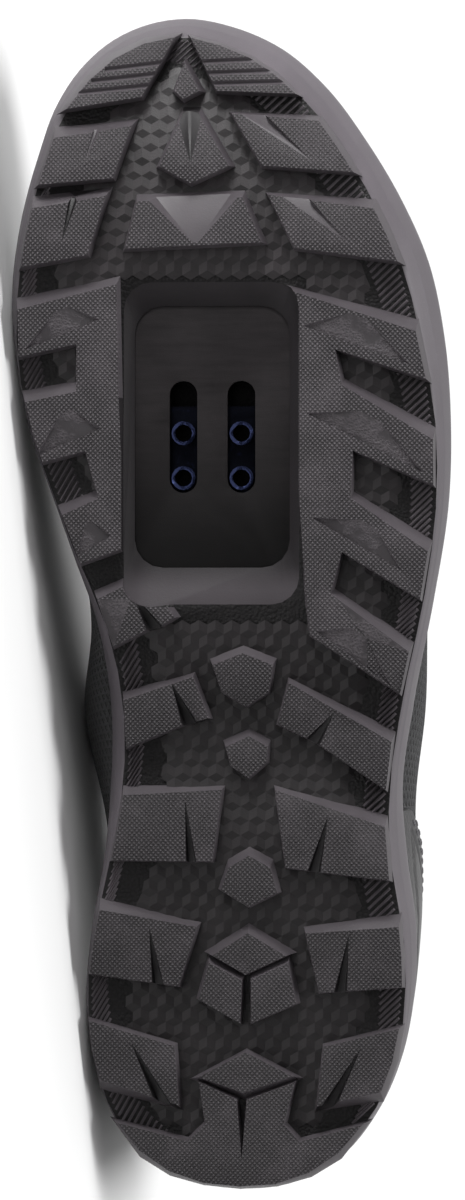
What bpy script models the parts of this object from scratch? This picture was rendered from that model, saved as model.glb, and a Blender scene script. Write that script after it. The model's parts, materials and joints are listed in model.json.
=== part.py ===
"""Off-road cycling shoe for the left foot, lying on its medial side.

Every piece is worked out in the shoe's own axes: X towards the medial side, Y towards the toe,
Z up from the tread plane, with the heel's back at Y = 0. At the end the shoe is laid on the
floor on its medial side, sole edge and upper both touching, and toe towards -X.
"""
import math

import bmesh
import bpy
import numpy as np
from mathutils import Matrix, Vector

for old in list(bpy.data.objects):
    bpy.data.objects.remove(old, do_unlink=True)

# Driving sizes, in metres
LENGTH = 0.285
BALL_WIDTH = 0.107
INSTEP_HEIGHT = 0.094
COLLAR_HEIGHT = 0.088
LUG_DEPTH = 0.005
BASE_THICKNESS = 0.003
TOE_SPRING = 0.016
ARCH_RISE = 0.004
RAND_HEIGHT = 0.0175
RAND_FLARE = 0.0066
RAND_WALL = 0.0022
RAND_TOP_INSET = 0.0012
MIDSOLE_TOP_INSET = 0.0014
WALL_BREAK = 0.0115
MIDSOLE_CROWN = 0.0004
MIDSOLE_EDGE = 0.0003
MIDSOLE_BAND_LEAST = 0.0012
FOREFOOT_STACK = 0.0152
HEEL_STACK = 0.0235
INSOLE_THICKNESS = 0.004
INSOLE_LIP = 0.0016
INSOLE_LIP_WIDTH = 0.0012
INSOLE_DISH_WIDTH = 0.008
UPPER_WALL = 0.0022
COLLAR_PADDING = 0.0030
EYESTAY_RAISE = 0.0010
OVERLAY_THICKNESS = 0.0013
TONGUE_THICKNESS = 0.0045
TONGUE_CROWN = 0.0012
TONGUE_UNDER_VAMP = 0.0009
STRAP_THICKNESS = 0.0018
STRAP_CROWN = 0.0035
FIT_GAP = 0.0003
OVERLAY_GAP = 0.00055
TONGUE_GAP = 0.0008
FEATHER_SLACK = 0.0004

# Sizes of the cleat fitting
CLEAT_PLATE_LENGTH = 0.071
CLEAT_PLATE_WIDTH = 0.0455
CLEAT_PLATE_THICKNESS = 0.002
RECESS_LENGTH = 0.063
RECESS_WIDTH = 0.0374
RECESS_CORNER = 0.0067
RECESS_SIDE_RAMP = 0.0026
RECESS_FRONT_RAMP = 0.0060
RECESS_REAR_RAMP = 0.0095
CLEAT_PLATE_CORNER = 0.0107
SLOT_SPACING = 0.014
SLOT_LENGTH = 0.027
SLOT_WIDTH = 0.0067
BOSS_SPACING = 0.0108
BOSS_RADIUS = 0.0029
BOLT_RADIUS = 0.0021
NUT_PLATE_THICKNESS = 0.002
NUT_PLATE_MARGIN = 0.0065
NUT_PLATE_CORNER = 0.002
NUT_TRAVEL = 0.009

# Where the shoe bends, as shares of its length
TOE_BEND_START = 0.80
ARCH_START = 0.27
ARCH_END = 0.50
CLEAT_ALONG = 0.6375
CLEAT_ACROSS = 0.065

STATIONS = 64
LUG_DRAFT = 0.0006
LUG_SLOPE = 0.0030
LUG_SINK = 0.0006
SLOPE_TURN = 0.14
EDGE_MARGIN = 0.0009
GROOVE_WIDTH = 0.0014
GROOVE_DEPTH = 0.0010

# The sole's widest outline, from the heel's back round by the medial side:
# along (% of length), across (% of ball width, medial positive), flare (% of the rand's flare)
OUTLINE = [
    (0.0, 0.2, 18), (1.1, 15.0, 16), (3.7, 24.9, 15), (10.4, 33.5, 14), (16.3, 35.5, 15),
    (22.2, 34.3, 20), (28.1, 31.6, 35), (34.9, 30.3, 58), (41.6, 30.5, 56), (48.0, 33.2, 40),
    (53.4, 38.2, 20), (58.5, 43.0, 16), (64.0, 48.2, 16), (70.0, 51.4, 18), (76.2, 52.6, 36),
    (82.1, 50.7, 44), (88.0, 46.9, 50), (92.2, 43.3, 58), (95.6, 37.9, 76), (98.1, 30.8, 84),
    (99.6, 22.0, 84), (100.0, 13.5, 84), (99.2, 3.0, 88), (97.2, -8.3, 92), (93.9, -18.2, 92),
    (88.9, -28.1, 92), (83.8, -36.1, 92), (78.7, -42.0, 92), (72.4, -45.6, 82), (65.2, -47.1, 52),
    (58.5, -46.7, 40), (50.1, -43.3, 30), (41.6, -38.8, 36), (34.0, -36.1, 40), (28.1, -37.3, 56),
    (22.2, -39.3, 42), (16.3, -38.8, 26), (11.3, -36.1, 14), (7.0, -31.2, 12), (2.8, -22.4, 14),
    (0.6, -11.9, 16),
]

# The upper's wall, one row for each section from the heel's back round by the medial side.
# Foot: side and along (% of length). Top edge: along, across (% of ball width) and height (% of the
# named height). Low and high handle of the section's curve: out (% of ball width) and up or down
# (% of instep height).
UPPER_SECTIONS = [
    ("medial", 0.0, 4.0, 0.0, "collar", 100.0, 2.0, 22.0, 5.0, 28.0),
    ("medial", 8.0, 8.5, 21.5, "collar", 95.0, 0.8, 22.0, 3.0, 24.0),
    ("medial", 20.0, 20.0, 28.5, "collar", 82.0, 0.5, 21.0, 2.5, 18.0),
    ("medial", 31.0, 29.5, 28.5, "collar", 85.0, 8.0, 21.0, 7.5, 21.0),
    ("medial", 42.0, 38.5, 20.5, "instep", 100.0, 19.5, 19.0, 21.0, 20.0),
    ("medial", 52.0, 46.0, 15.5, "instep", 91.5, 10.0, 24.0, 20.0, 13.0),
    ("medial", 62.0, 54.0, 13.5, "instep", 80.0, 3.5, 27.0, 19.0, 9.0),
    ("medial", 72.0, 61.0, 11.5, "instep", 69.5, 1.5, 27.0, 19.0, 7.0),
    ("medial", 82.0, 66.0, 8.5, "instep", 63.0, 1.0, 26.0, 18.0, 5.5),
    ("medial", 92.0, 68.8, 4.8, "instep", 60.5, 1.0, 25.0, 25.0, 7.0),
    ("medial", 100.0, 69.6, 1.0, "instep", 60.0, 1.5, 25.0, 38.0, 6.0),
    ("lateral", 92.0, 68.9, -3.2, "instep", 60.3, 1.0, 24.0, 25.0, 7.5),
    ("lateral", 82.0, 66.3, -7.3, "instep", 62.5, 1.0, 23.0, 18.0, 7.0),
    ("lateral", 72.0, 61.3, -10.3, "instep", 68.5, 1.5, 23.0, 17.0, 8.5),
    ("lateral", 62.0, 54.3, -12.5, "instep", 79.0, 2.5, 24.0, 18.0, 10.5),
    ("lateral", 52.0, 46.3, -14.5, "instep", 90.5, 6.0, 25.0, 18.0, 15.0),
    ("lateral", 42.0, 38.8, -20.0, "instep", 99.0, 11.0, 22.0, 17.0, 21.0),
    ("lateral", 31.0, 29.5, -28.5, "collar", 82.0, 9.5, 21.0, 8.0, 20.0),
    ("lateral", 20.0, 20.0, -30.0, "collar", 79.0, 4.0, 21.0, 4.0, 17.0),
    ("lateral", 8.0, 8.5, -22.5, "collar", 94.0, 3.0, 22.0, 4.0, 24.0),
]
EYESTAY_START = 0.785
EYESTAY_EASE = 0.02
PADDING_START = 0.55
PADDING_EASE = 0.25
WALL_STEPS = (0.0, 0.05, 0.13, 0.22, 0.31, 0.41, 0.51, 0.61, 0.70, 0.785, 0.805, 0.90, 1.0)

# Lugs along the tread's edge: name and corners, each along and across in % as in the outline.
# A corner with a third value lies on the tread's edge, and two such in a row follow that edge.
EDGE_LUGS = {
    "medial_toe": [(98.0, 15.5, 1), (92.5, 22.5), (91.5, 39.5, 1)],
    "medial_1": [(89.0, 42.5, 1), (89.5, 32.0), (90.0, 24.5), (85.5, 28.5), (85.0, 46.0, 1)],
    "medial_2": [(83.0, 47.0, 1), (83.5, 37.0), (84.0, 30.0), (79.0, 34.0), (78.0, 49.0, 1)],
    "medial_rail": [(74.5, 50.0, 1), (76.5, 27.5), (67.0, 27.0), (62.5, 26.5), (54.5, 24.5),
                    (53.0, 35.5, 1), (57.0, 40.5, 1), (58.5, 31.5), (62.5, 34.5), (61.5, 45.0, 1),
                    (66.5, 48.5, 1), (67.5, 36.5), (71.5, 36.5), (70.5, 49.5, 1)],
    "medial_4": [(50.0, 32.0, 1), (52.0, 21.0), (48.5, 14.5), (47.8, 17.5), (47.5, 20.5),
                 (46.0, 28.5, 1)],
    "medial_5": [(41.5, 26.5, 1), (43.5, 10.5), (40.0, 7.0), (39.5, 12.5), (37.5, 25.5, 1)],
    "medial_6": [(33.5, 26.0, 1), (34.0, 4.0), (28.0, 6.0), (28.0, 28.0, 1)],
    "medial_7": [(24.0, 32.0, 1), (22.5, 9.5), (17.5, 13.5), (18.5, 33.5, 1)],
    "medial_8": [(14.5, 34.0, 1), (12.5, 14.5), (7.5, 13.5), (9.5, 32.0, 1)],
    "heel": [(6.0, 27.5, 1), (4.5, 11.5), (6.0, 7.5), (9.5, 9.0), (8.0, 0.5), (3.0, -0.6),
             (8.0, -1.8), (9.5, -12.5), (6.0, -10.0), (4.5, -13.5), (5.5, -29.5, 1)],
    "lateral_10": [(14.0, -37.0, 1), (12.5, -19.0), (7.5, -17.5), (8.5, -33.0, 1)],
    "lateral_9": [(22.5, -36.0, 1), (22.0, -15.0), (17.0, -18.0), (17.5, -37.5, 1)],
    "lateral_8": [(31.0, -34.0, 1), (34.0, -8.0), (27.5, -10.5), (26.5, -34.0, 1)],
    "lateral_7": [(38.0, -35.0, 1), (43.0, -11.0), (39.5, -8.5), (38.0, -17.0), (34.0, -34.0, 1)],
    "lateral_rail": [(72.5, -40.0, 1), (76.0, -11.0), (67.0, -12.5), (58.5, -13.5), (50.0, -15.0),
                     (47.0, -16.0), (42.0, -36.5, 1), (45.5, -39.0, 1), (50.5, -20.5), (54.0, -23.0),
                     (50.0, -42.0, 1), (54.0, -43.5, 1), (58.5, -25.0), (62.5, -25.5),
                     (59.5, -45.0, 1), (63.5, -44.5, 1), (68.0, -23.0), (71.0, -21.5),
                     (68.5, -43.0, 1)],
    "lateral_2": [(83.0, -31.0, 1), (84.0, -6.5), (79.5, -12.5), (78.5, -36.0, 1)],
    "lateral_1": [(90.5, -18.0, 1), (91.0, 2.0), (86.5, -5.0), (86.0, -26.0, 1)],
    "lateral_toe": [(98.0, 11.5, 1), (93.0, 5.5), (93.0, -13.0, 1)],
}

# Lugs in the middle of the tread
MIDDLE_LUGS = {
    "kite": [(95.5, 13.0), (93.0, 15.0), (92.3, 13.0), (93.0, 9.5)],
    "arrow": [(91.0, 13.0), (86.5, 18.0), (85.0, 11.0), (86.5, 2.5), (91.0, 9.5)],
    "plough": [(83.5, 23.0), (79.5, 25.5), (80.0, -5.0), (83.8, -0.7)],
    "hexagon_1": [(45.5, -0.7), (44.5, 6.0), (42.2, 4.0), (41.0, -1.5), (42.2, -6.5), (44.5, -7.5)],
    "hexagon_2": [(38.5, -2.0), (37.6, 3.2), (36.0, 2.0), (35.0, -2.0), (36.3, -6.0), (37.6, -6.2)],
    "hexagon_3": [(28.5, -2.2), (27.5, 2.3), (25.6, 4.0), (24.2, -2.2), (25.4, -8.5), (27.5, -7.0)],
    "star_tip": [(22.0, -2.0), (20.1, 6.0), (18.5, -1.5), (20.1, -10.5)],
    "star_medial": [(19.5, 6.7), (16.4, 9.0), (14.4, -0.3), (18.0, -0.7)],
    "star_lateral": [(19.5, -11.0), (18.1, -2.7), (14.4, -2.7), (16.1, -12.8)],
    "rear_tip": [(12.0, -1.5), (9.9, 9.0), (8.6, -1.0), (10.0, -12.0)],
}

# Darts cut into the lugs' faces. Each has a wide end and a tip, and deepens towards the wide end:
# its two corners and its tip, along and across in %, then the run of the wide end's floor (from
# and to, in % of the way between the corners) and its depth (% of the lugs' depth)
DARTS = [
    (91.1, -5.2, 90.9, 0.2, 86.5, -17.1, 5, 15, 44),
    (84.4, -14.2, 84.0, -8.6, 79.7, -24.9, 5, 15, 44),
    (90.2, 32.9, 90.2, 30.9, 86.5, 35.2, 15, 50, 30),
    (84.4, 38.0, 84.4, 35.6, 79.8, 40.0, 15, 60, 44),
    (47.0, 20.4, 47.6, 16.6, 50.7, 24.2, 20, 80, 70),
    (39.2, 13.0, 39.5, 9.2, 43.1, 15.5, 20, 80, 70),
    (27.2, 11.9, 27.2, 9.1, 33.4, 12.3, 20, 80, 70),
    (16.8, 19.4, 16.8, 16.2, 22.7, 20.2, 20, 80, 70),
    (7.2, 18.4, 7.0, 14.0, 13.0, 24.5, 20, 80, 70),
    (37.6, -12.8, 37.6, -17.8, 40.7, -21.5, 20, 80, 70),
    (26.4, -14.5, 26.4, -18.1, 32.0, -20.0, 20, 80, 70),
    (16.6, -20.9, 16.6, -24.2, 22.1, -24.7, 20, 80, 70),
    (7.0, -17.5, 7.4, -21.8, 12.6, -27.6, 20, 80, 70),
    (91.8, 15.3, 91.8, 7.9, 86.3, 11.0, 40, 55, 44),
    (84.8, 24.0, 84.8, -2.2, 79.7, 9.7, 12, 88, 60),
    (69.7, -38.4, 73.0, -14.1, 74.3, -26.9, 4, 96, 16),
    (60.6, -41.5, 65.7, -14.8, 65.9, -29.6, 4, 96, 16),
    (52.4, -36.6, 56.9, -16.2, 56.7, -29.6, 4, 96, 16),
    (42.7, -34.1, 47.4, -17.1, 47.7, -27.4, 4, 96, 16),
    (71.0, 48.3, 73.6, 31.2, 74.9, 40.0, 4, 96, 16),
    (62.0, 45.8, 64.4, 31.0, 66.4, 39.1, 4, 96, 16),
    (53.7, 36.4, 55.4, 28.5, 56.9, 34.1, 4, 96, 16),
]

# Grooves between the bars of the toe's lugs: from and to, each along and across in %
GROOVES = [
    (94.9, 31.0, 95.5, 17.4), (93.9, 34.0, 94.5, 19.0), (92.9, 37.0, 93.5, 20.2),
    (95.5, 11.0, 95.8, -8.0), (94.5, 9.6, 94.8, -11.4), (93.6, 8.2, 93.8, -13.8),
]

# Straps: name, place along the throat (% from its front), half width (mm), and how far down each
# wall they reach, as the wall's share where they end
STRAPS = [
    ("strap_front", 17.0, 9.0, 0.41, 0.31),
    ("strap_middle", 46.0, 9.5, 0.41, 0.31),
    ("strap_top", 77.0, 12.0, 0.51, 0.51),
]

# The tongue above the throat, row by row: up and back (m), and how much narrower than the last row
TONGUE_TOP = [(0.009, 0.005, 0.72), (0.008, 0.005, 0.95), (0.007, 0.005, 0.95)]

# Colours as seen on the shoe: red, green, blue, roughness, metallic
FINISHES = {
    "outsole": (0.075, 0.070, 0.076, 0.72, 0.0),
    "midsole": (0.060, 0.058, 0.062, 0.65, 0.0),
    "cleat_plate": (0.022, 0.021, 0.023, 0.48, 0.0),
    "cleat_nut_plate": (0.030, 0.034, 0.060, 0.25, 0.9),
    "insole": (0.050, 0.050, 0.054, 0.95, 0.0),
    "upper": (0.020, 0.020, 0.023, 0.88, 0.0),
    "tongue": (0.018, 0.018, 0.021, 0.90, 0.0),
    "toe_cap": (0.030, 0.029, 0.032, 0.55, 0.0),
    "heel_counter": (0.026, 0.025, 0.028, 0.50, 0.0),
    "strap": (0.024, 0.024, 0.027, 0.60, 0.0),
}
DENSITIES = {"outsole": 1150, "midsole": 600, "cleat_nut_plate": 7800, "cleat_plate": 1100}
SOFT_DENSITY = 450


def smooth(value):
    """Smooth step: 0 below 0, 1 above 1, with level ends."""
    value = np.clip(value, 0.0, 1.0)
    return value * value * (3.0 - 2.0 * value)


def closed_spline(knots, values, query):
    """Smooth closed curve through rows at increasing knots in 0 to 1: a cubic Hermite."""
    knots = np.asarray(knots, float)
    values = np.asarray(values, float)
    following = np.roll(np.arange(len(knots)), -1)
    previous = np.roll(np.arange(len(knots)), 1)
    step_on = ((knots[following] - knots) % 1.0)[:, None]
    step_back = ((knots - knots[previous]) % 1.0)[:, None]
    slope_on = (values[following] - values) / step_on
    slope_back = (values - values[previous]) / step_back
    slope = (slope_on * step_back + slope_back * step_on) / (step_on + step_back)
    query = np.asarray(query, float) % 1.0
    row = (np.searchsorted(knots, query, side="right") - 1) % len(knots)
    width = step_on[row]
    t = (((query - knots[row]) % 1.0) / width[..., 0])[..., None]
    start = values[row]
    end = values[following[row]]
    return ((2 * t ** 3 - 3 * t ** 2 + 1) * start + (t ** 3 - 2 * t ** 2 + t) * width * slope[row]
            + (3 * t ** 2 - 2 * t ** 3) * end + (t ** 3 - t ** 2) * width * slope[following[row]])


def along_path(points):
    """Shares of the length along a closed path, one for each point, starting at 0."""
    steps = np.linalg.norm(np.roll(points, -1, axis=0) - points, axis=1)
    return np.concatenate([[0.0], np.cumsum(steps)[:-1]]) / steps.sum(), steps.sum()


# The outline, measured along its own length: a station is a share of the way round from the heel
SAMPLES = 1440
ROWS = np.array(OUTLINE, float)
ROW_POINTS = ROWS[:, 1::-1] / 100.0 * np.array([BALL_WIDTH, LENGTH])
ROW_KNOTS, _ = along_path(ROW_POINTS)
DENSE = closed_spline(ROW_KNOTS, ROW_POINTS, np.arange(SAMPLES) / SAMPLES)
DENSE_STATIONS, PERIMETER = along_path(DENSE)
ROW_STATIONS = np.interp(ROW_KNOTS, np.arange(SAMPLES) / SAMPLES, DENSE_STATIONS)
TOE_SAMPLE = int(np.argmax(DENSE[:, 1]))
TOE_STATION = DENSE_STATIONS[TOE_SAMPLE]


def outline_point(station):
    """Point on the sole's widest outline, and the outward normal there."""
    station = np.asarray(station, float)
    point = closed_spline(DENSE_STATIONS, DENSE, station)
    reach = 0.006
    tangent = closed_spline(DENSE_STATIONS, DENSE, station + reach)
    tangent = tangent - closed_spline(DENSE_STATIONS, DENSE, station - reach)
    tangent /= np.linalg.norm(tangent, axis=-1, keepdims=True)
    return point, np.stack([tangent[..., 1], -tangent[..., 0]], axis=-1)


def inset_point(station, inset):
    """The outline moved inwards by an inset in metres."""
    point, normal = outline_point(station)
    return point - normal * np.asarray(inset)[..., None]


def flare_at(station):
    """How far the rand flares out beyond the tread's edge."""
    return closed_spline(ROW_STATIONS, ROWS[:, 2:3], station)[..., 0] / 100.0 * RAND_FLARE


def station_of(side, along):
    """Station where one side of the outline passes a share of the length, in percent."""
    target = along / 100.0 * LENGTH
    if side == "medial":
        return float(np.interp(target, DENSE[:TOE_SAMPLE + 1, 1], DENSE_STATIONS[:TOE_SAMPLE + 1]))
    back = slice(None, TOE_SAMPLE - 1, -1)
    return float(np.interp(target, DENSE[back, 1], DENSE_STATIONS[back]))


def rise(y):
    """Height added by the toe spring and the arch at a distance from the heel."""
    share = np.asarray(y) / LENGTH
    toe = np.clip((share - TOE_BEND_START) / (1.0 - TOE_BEND_START), 0.0, None) ** 1.6
    arch = np.clip((share - ARCH_START) / (ARCH_END - ARCH_START), 0.0, 1.0)
    return TOE_SPRING * toe + ARCH_RISE * np.sin(math.pi * arch) ** 2


def stack(y):
    """Height of the foot bed's underside above the tread, before the shoe is bent."""
    share = np.asarray(y) / LENGTH
    return FOREFOOT_STACK + (HEEL_STACK - FOREFOOT_STACK) * smooth((0.64 - share) / 0.34)


def bent(points):
    """Points raised by the toe spring and the arch."""
    points = np.array(points, float)
    points[..., 2] += rise(points[..., 1])
    return points


def band_share(y):
    """How far the midsole shows above the rand: 0 at the ball, 1 from the waist to the heel."""
    start = 0.0008
    ease = 0.003
    return smooth((stack(y) - RAND_HEIGHT - start) / ease)


FEATHER_DEEP = RAND_TOP_INSET + RAND_WALL + FIT_GAP + FEATHER_SLACK
FEATHER_HIGH = 0.0034


def feather_inset(y):
    """Inset of the upper's lower edge: inside the rand at the ball, on the midsole at the heel."""
    return FEATHER_DEEP + (FEATHER_HIGH - FEATHER_DEEP) * band_share(y)


def new_object(name, vertices, faces, collection, finish=None):
    """Mesh object from points and faces, with its own material, or a hidden guide without one."""
    mesh = bpy.data.meshes.new(name)
    mesh.from_pydata([tuple(p) for p in vertices], [], [tuple(f) for f in faces])
    mesh.update()
    thing = bpy.data.objects.new(name, mesh)
    collection.objects.link(thing)
    if finish:
        red, green, blue, roughness, metallic = FINISHES[finish]
        material = bpy.data.materials.new(name)
        material.use_nodes = True
        shader = material.node_tree.nodes["Principled BSDF"]
        shader.inputs["Base Color"].default_value = (red, green, blue, 1.0)
        shader.inputs["Roughness"].default_value = roughness
        shader.inputs["Metallic"].default_value = metallic
        mesh.materials.append(material)
    else:
        thing.hide_render = True
        thing.display_type = "WIRE"
    return thing


def ring_faces(rings, count):
    """Quads between successive closed rings of points, outward for rings that climb."""
    faces = []
    for ring in range(rings - 1):
        low = ring * count
        high = low + count
        for i in range(count):
            j = (i + 1) % count
            faces.append((low + i, low + j, high + j, high + i))
    return faces


def strip_cap(start, count, upwards):
    """Faces across a ring from its medial to its lateral side, from the heel to the toe."""
    faces = []
    for i in range(count // 2):
        medial = (start + i, start + i + 1)
        lateral = (start + (count - i) % count, start + (count - i - 1) % count)
        face = [medial[0], medial[1], lateral[1], lateral[0]]
        face = list(dict.fromkeys(face))
        faces.append(face if upwards else face[::-1])
    return faces


def sheet_solid(inner, outer):
    """Closed solid between two grids of points with the same rows and columns."""
    rows, columns = outer.shape[:2]
    size = rows * columns
    vertices = np.concatenate([outer.reshape(-1, 3), inner.reshape(-1, 3)])
    faces = []
    for r in range(rows - 1):
        for c in range(columns - 1):
            a, b = r * columns + c, (r + 1) * columns + c
            faces.append((a, b, b + 1, a + 1))
            faces.append((size + a, size + a + 1, size + b + 1, size + b))
    for r in range(rows - 1):
        for c, turn in ((0, 1), (columns - 1, -1)):
            a, b = r * columns + c, (r + 1) * columns + c
            faces.append((a, size + a, size + b, b)[::turn])
    for c in range(columns - 1):
        for r, turn in ((0, -1), (rows - 1, 1)):
            a, b = r * columns + c, r * columns + c + 1
            faces.append((a, size + a, size + b, b)[::turn])
    return vertices, faces


# Sections of the upper's wall
SECTION_STATIONS = [station_of(side, along) for side, along, *_ in UPPER_SECTIONS]
HEIGHTS = {"collar": COLLAR_HEIGHT, "instep": INSTEP_HEIGHT}


def section_values():
    """Top point, low handle and high handle of each section, as nine numbers a row."""
    _, normals = outline_point(SECTION_STATIONS)
    rows = []
    for section, normal in zip(UPPER_SECTIONS, normals):
        _, _, along, across, height_name, height, low_out, low_up, high_out, high_down = section
        top = (across / 100 * BALL_WIDTH, along / 100 * LENGTH, height / 100 * HEIGHTS[height_name])
        low = (*(normal * low_out / 100 * BALL_WIDTH), low_up / 100 * INSTEP_HEIGHT)
        high = (*(normal * high_out / 100 * BALL_WIDTH), -high_down / 100 * INSTEP_HEIGHT)
        rows.append(top + low + high)
    return rows


SECTIONS = section_values()


def wall_centre(station, share):
    """Outer surface of the upper before its thickness: a cubic curve from foot to top edge."""
    station, share = np.broadcast_arrays(np.asarray(station, float), np.asarray(share, float))
    foot, _ = outline_point(station)
    foot = inset_point(station, feather_inset(foot[..., 1]))
    foot = np.concatenate([foot, (stack(foot[..., 1]) + FIT_GAP)[..., None]], axis=-1)
    values = closed_spline(SECTION_STATIONS, SECTIONS, station)
    top = values[..., 0:3]
    low = foot + values[..., 3:6]
    high = top + values[..., 6:9]
    h = share[..., None]
    curve = (foot * (1 - h) ** 3 + 3 * low * h * (1 - h) ** 2 + 3 * high * h ** 2 * (1 - h) + top * h ** 3)
    return bent(curve)


def wall_point(station, share, offset):
    """Point of the upper's wall, moved out along the surface's normal by an offset."""
    station, share, offset = np.broadcast_arrays(*(np.asarray(v, float) for v in (station, share, offset)))
    reach = 0.004
    round_ = wall_centre(station + reach, share) - wall_centre(station - reach, share)
    upwards = (wall_centre(station, np.minimum(share + 0.02, 1.0))
               - wall_centre(station, np.maximum(share - 0.02, 0.0)))
    normal = np.cross(round_, upwards)
    normal /= np.linalg.norm(normal, axis=-1, keepdims=True)
    return wall_centre(station, share) + normal * offset[..., None]


THROAT_MEDIAL = SECTION_STATIONS[4]
THROAT_LATERAL = SECTION_STATIONS[16]


def throat_share(station):
    """1 where the wall ends at the throat, 0 where it ends at the collar."""
    station = np.asarray(station, float) % 1.0
    ease = 0.012
    return smooth((station - THROAT_MEDIAL) / ease + 0.5) * smooth((THROAT_LATERAL - station) / ease + 0.5)


def eyestay_offset(station, share):
    """Height of the eyestay's step on the wall's outer face."""
    return EYESTAY_RAISE * throat_share(station) * smooth((np.asarray(share) - EYESTAY_START) / EYESTAY_EASE)


def wall_thickness(station, share):
    """The wall, thicker where the collar is padded."""
    padded = (1.0 - throat_share(station)) * smooth((np.asarray(share) - PADDING_START) / PADDING_EASE)
    return UPPER_WALL + COLLAR_PADDING * padded


def make_upper(collection):
    """Hollow upper: open underneath, at the throat and at the collar."""
    station, share = np.meshgrid(np.arange(STATIONS) / STATIONS, WALL_STEPS, indexing="ij")
    outer = wall_point(station, share, eyestay_offset(station, share))
    inner = wall_point(station, share, -wall_thickness(station, share))
    rings = [outer[:, k] for k in range(len(WALL_STEPS))]
    rings += [inner[:, k] for k in reversed(range(len(WALL_STEPS)))]
    faces = ring_faces(len(rings), STATIONS)
    last = (len(rings) - 1) * STATIONS
    for i in range(STATIONS):
        j = (i + 1) % STATIONS
        faces.append((last + i, last + j, j, i))
    return new_object("upper", np.concatenate(rings), faces, collection, "upper")


def ring(inset, height, stations):
    """Closed ring of points at an inset from the outline and a height."""
    flat = inset_point(stations, np.broadcast_to(inset, stations.shape))
    return np.column_stack([flat, np.broadcast_to(height, stations.shape)])


def tray_floor_inset(stations):
    """Inset of the tray's floor: the rand's wall stands inside the bevel there too."""
    bevel_there = 0.6
    return np.maximum(RAND_TOP_INSET, flare_at(stations) * bevel_there) + RAND_WALL


# Profile of the rand from the tread's edge to its top: inset (% of the flare), a further inset
# (mm) and height (% of the way from the base to the rand's top)
RAND_PROFILE = [(100, 0.2, 0), (50, 0.2, 30), (42, 0.1, 36), (0, 0.0, 78), (0, 0.3, 90)]


def make_tray(collection):
    """Base and rand of the outsole, before lugs and bends: bevel, crease, widest line and top."""
    stations = np.arange(STATIONS) / STATIONS
    flare = flare_at(stations)
    climb = RAND_HEIGHT - LUG_DEPTH
    rings = [ring(flare * share / 100 + more / 1000, LUG_DEPTH + climb * height / 100, stations)
             for share, more, height in RAND_PROFILE]
    rings += [
        ring(RAND_TOP_INSET, RAND_HEIGHT, stations),
        ring(RAND_TOP_INSET + RAND_WALL, RAND_HEIGHT, stations),
        ring(RAND_TOP_INSET + RAND_WALL, WALL_BREAK, stations),
        ring(tray_floor_inset(stations), LUG_DEPTH + BASE_THICKNESS, stations),
    ]
    faces = ring_faces(len(rings), STATIONS)
    faces.append(tuple(range(STATIONS))[::-1])
    last = (len(rings) - 1) * STATIONS
    faces.append(tuple(range(last, last + STATIONS)))
    return new_object("outsole", np.concatenate(rings), faces, collection, "outsole")


def share_point(along, across):
    """Point of the tread from shares in percent."""
    return np.array([across / 100.0 * BALL_WIDTH, along / 100.0 * LENGTH])


def tread_edge(station):
    """Edge of the tread, where the lugs' outer sides stand."""
    return inset_point(station, flare_at(station) + EDGE_MARGIN)


EDGE_SAMPLES = tread_edge(DENSE_STATIONS)


def nearest_station(point):
    """Station of the tread's edge nearest to a point."""
    return DENSE_STATIONS[int(np.argmin(np.linalg.norm(EDGE_SAMPLES - point, axis=1)))]


def lug_outline(corners):
    """Outline of a lug, with its outer runs following the tread's edge."""
    edge_step = 0.009
    points = []
    for index, corner in enumerate(corners):
        following = corners[(index + 1) % len(corners)]
        here = share_point(*corner[:2])
        if len(corner) == 2:
            points.append(here)
            continue
        start = nearest_station(here)
        points.append(tread_edge(start))
        if len(following) == 3:
            stop = nearest_station(share_point(*following[:2]))
            run = (stop - start + 0.5) % 1.0 - 0.5
            steps = max(1, round(abs(run) * PERIMETER / edge_step))
            points += [tread_edge(start + run * k / steps) for k in range(1, steps)]
    points = np.array(points)
    x, y = points.T
    area = np.sum(x * np.roll(y, -1) - np.roll(x, -1) * y)
    return points if area > 0 else points[::-1]


def lug_root(outline, reach):
    """A lug's counterclockwise outline at its root.

    Every side leans out by the draft. Sides that face the toe, or the heel on the rear lugs, slope
    out further, the more so where reach, a number for each corner, is larger.
    """
    onward = np.roll(outline, -1, axis=0) - outline
    onward /= np.linalg.norm(onward, axis=1, keepdims=True)
    side = np.column_stack([onward[:, 1], -onward[:, 0]])
    back = np.roll(side, 1, axis=0)
    facing = 1.0 if outline[:, 1].mean() > SLOPE_TURN * LENGTH else -1.0
    slope = np.maximum(side[:, 1] * facing, 0.0)
    run = LUG_DRAFT + LUG_SLOPE * slope * reach
    run_back = LUG_DRAFT + LUG_SLOPE * np.roll(slope, 1) * reach
    turn = side[:, 0] * back[:, 1] - side[:, 1] * back[:, 0]
    straight = np.abs(turn) < 0.25
    turn = np.where(straight, 1.0, turn)
    corner = np.column_stack([run * back[:, 1] - run_back * side[:, 1],
                              run_back * side[:, 0] - run * back[:, 0]]) / turn[:, None]
    even = (side * run[:, None] + back * run_back[:, None]) / (1.0 + np.sum(side * back, axis=1))[:, None]
    shift = np.where(straight[:, None], even, corner)
    length = np.linalg.norm(shift, axis=1, keepdims=True)
    most = 1.4 * np.maximum(run, run_back)[:, None]
    return outline + shift * np.minimum(1.0, most / length)


def prisms(name, stacks, collection, finish=None):
    """Object of closed prisms, each a stack of outlines with their heights."""
    vertices = []
    faces = []
    for levels in stacks:
        start = len(vertices)
        count = len(levels[0][0])
        for outline, height in levels:
            vertices += [(x, y, height) for x, y in outline]
        faces += [tuple(start + v for v in face) for face in ring_faces(len(levels), count)]
        faces.append(tuple(range(start, start + count))[::-1])
        last = start + (len(levels) - 1) * count
        faces.append(tuple(range(last, last + count)))
    return new_object(name, vertices, faces, collection, finish)


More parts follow.
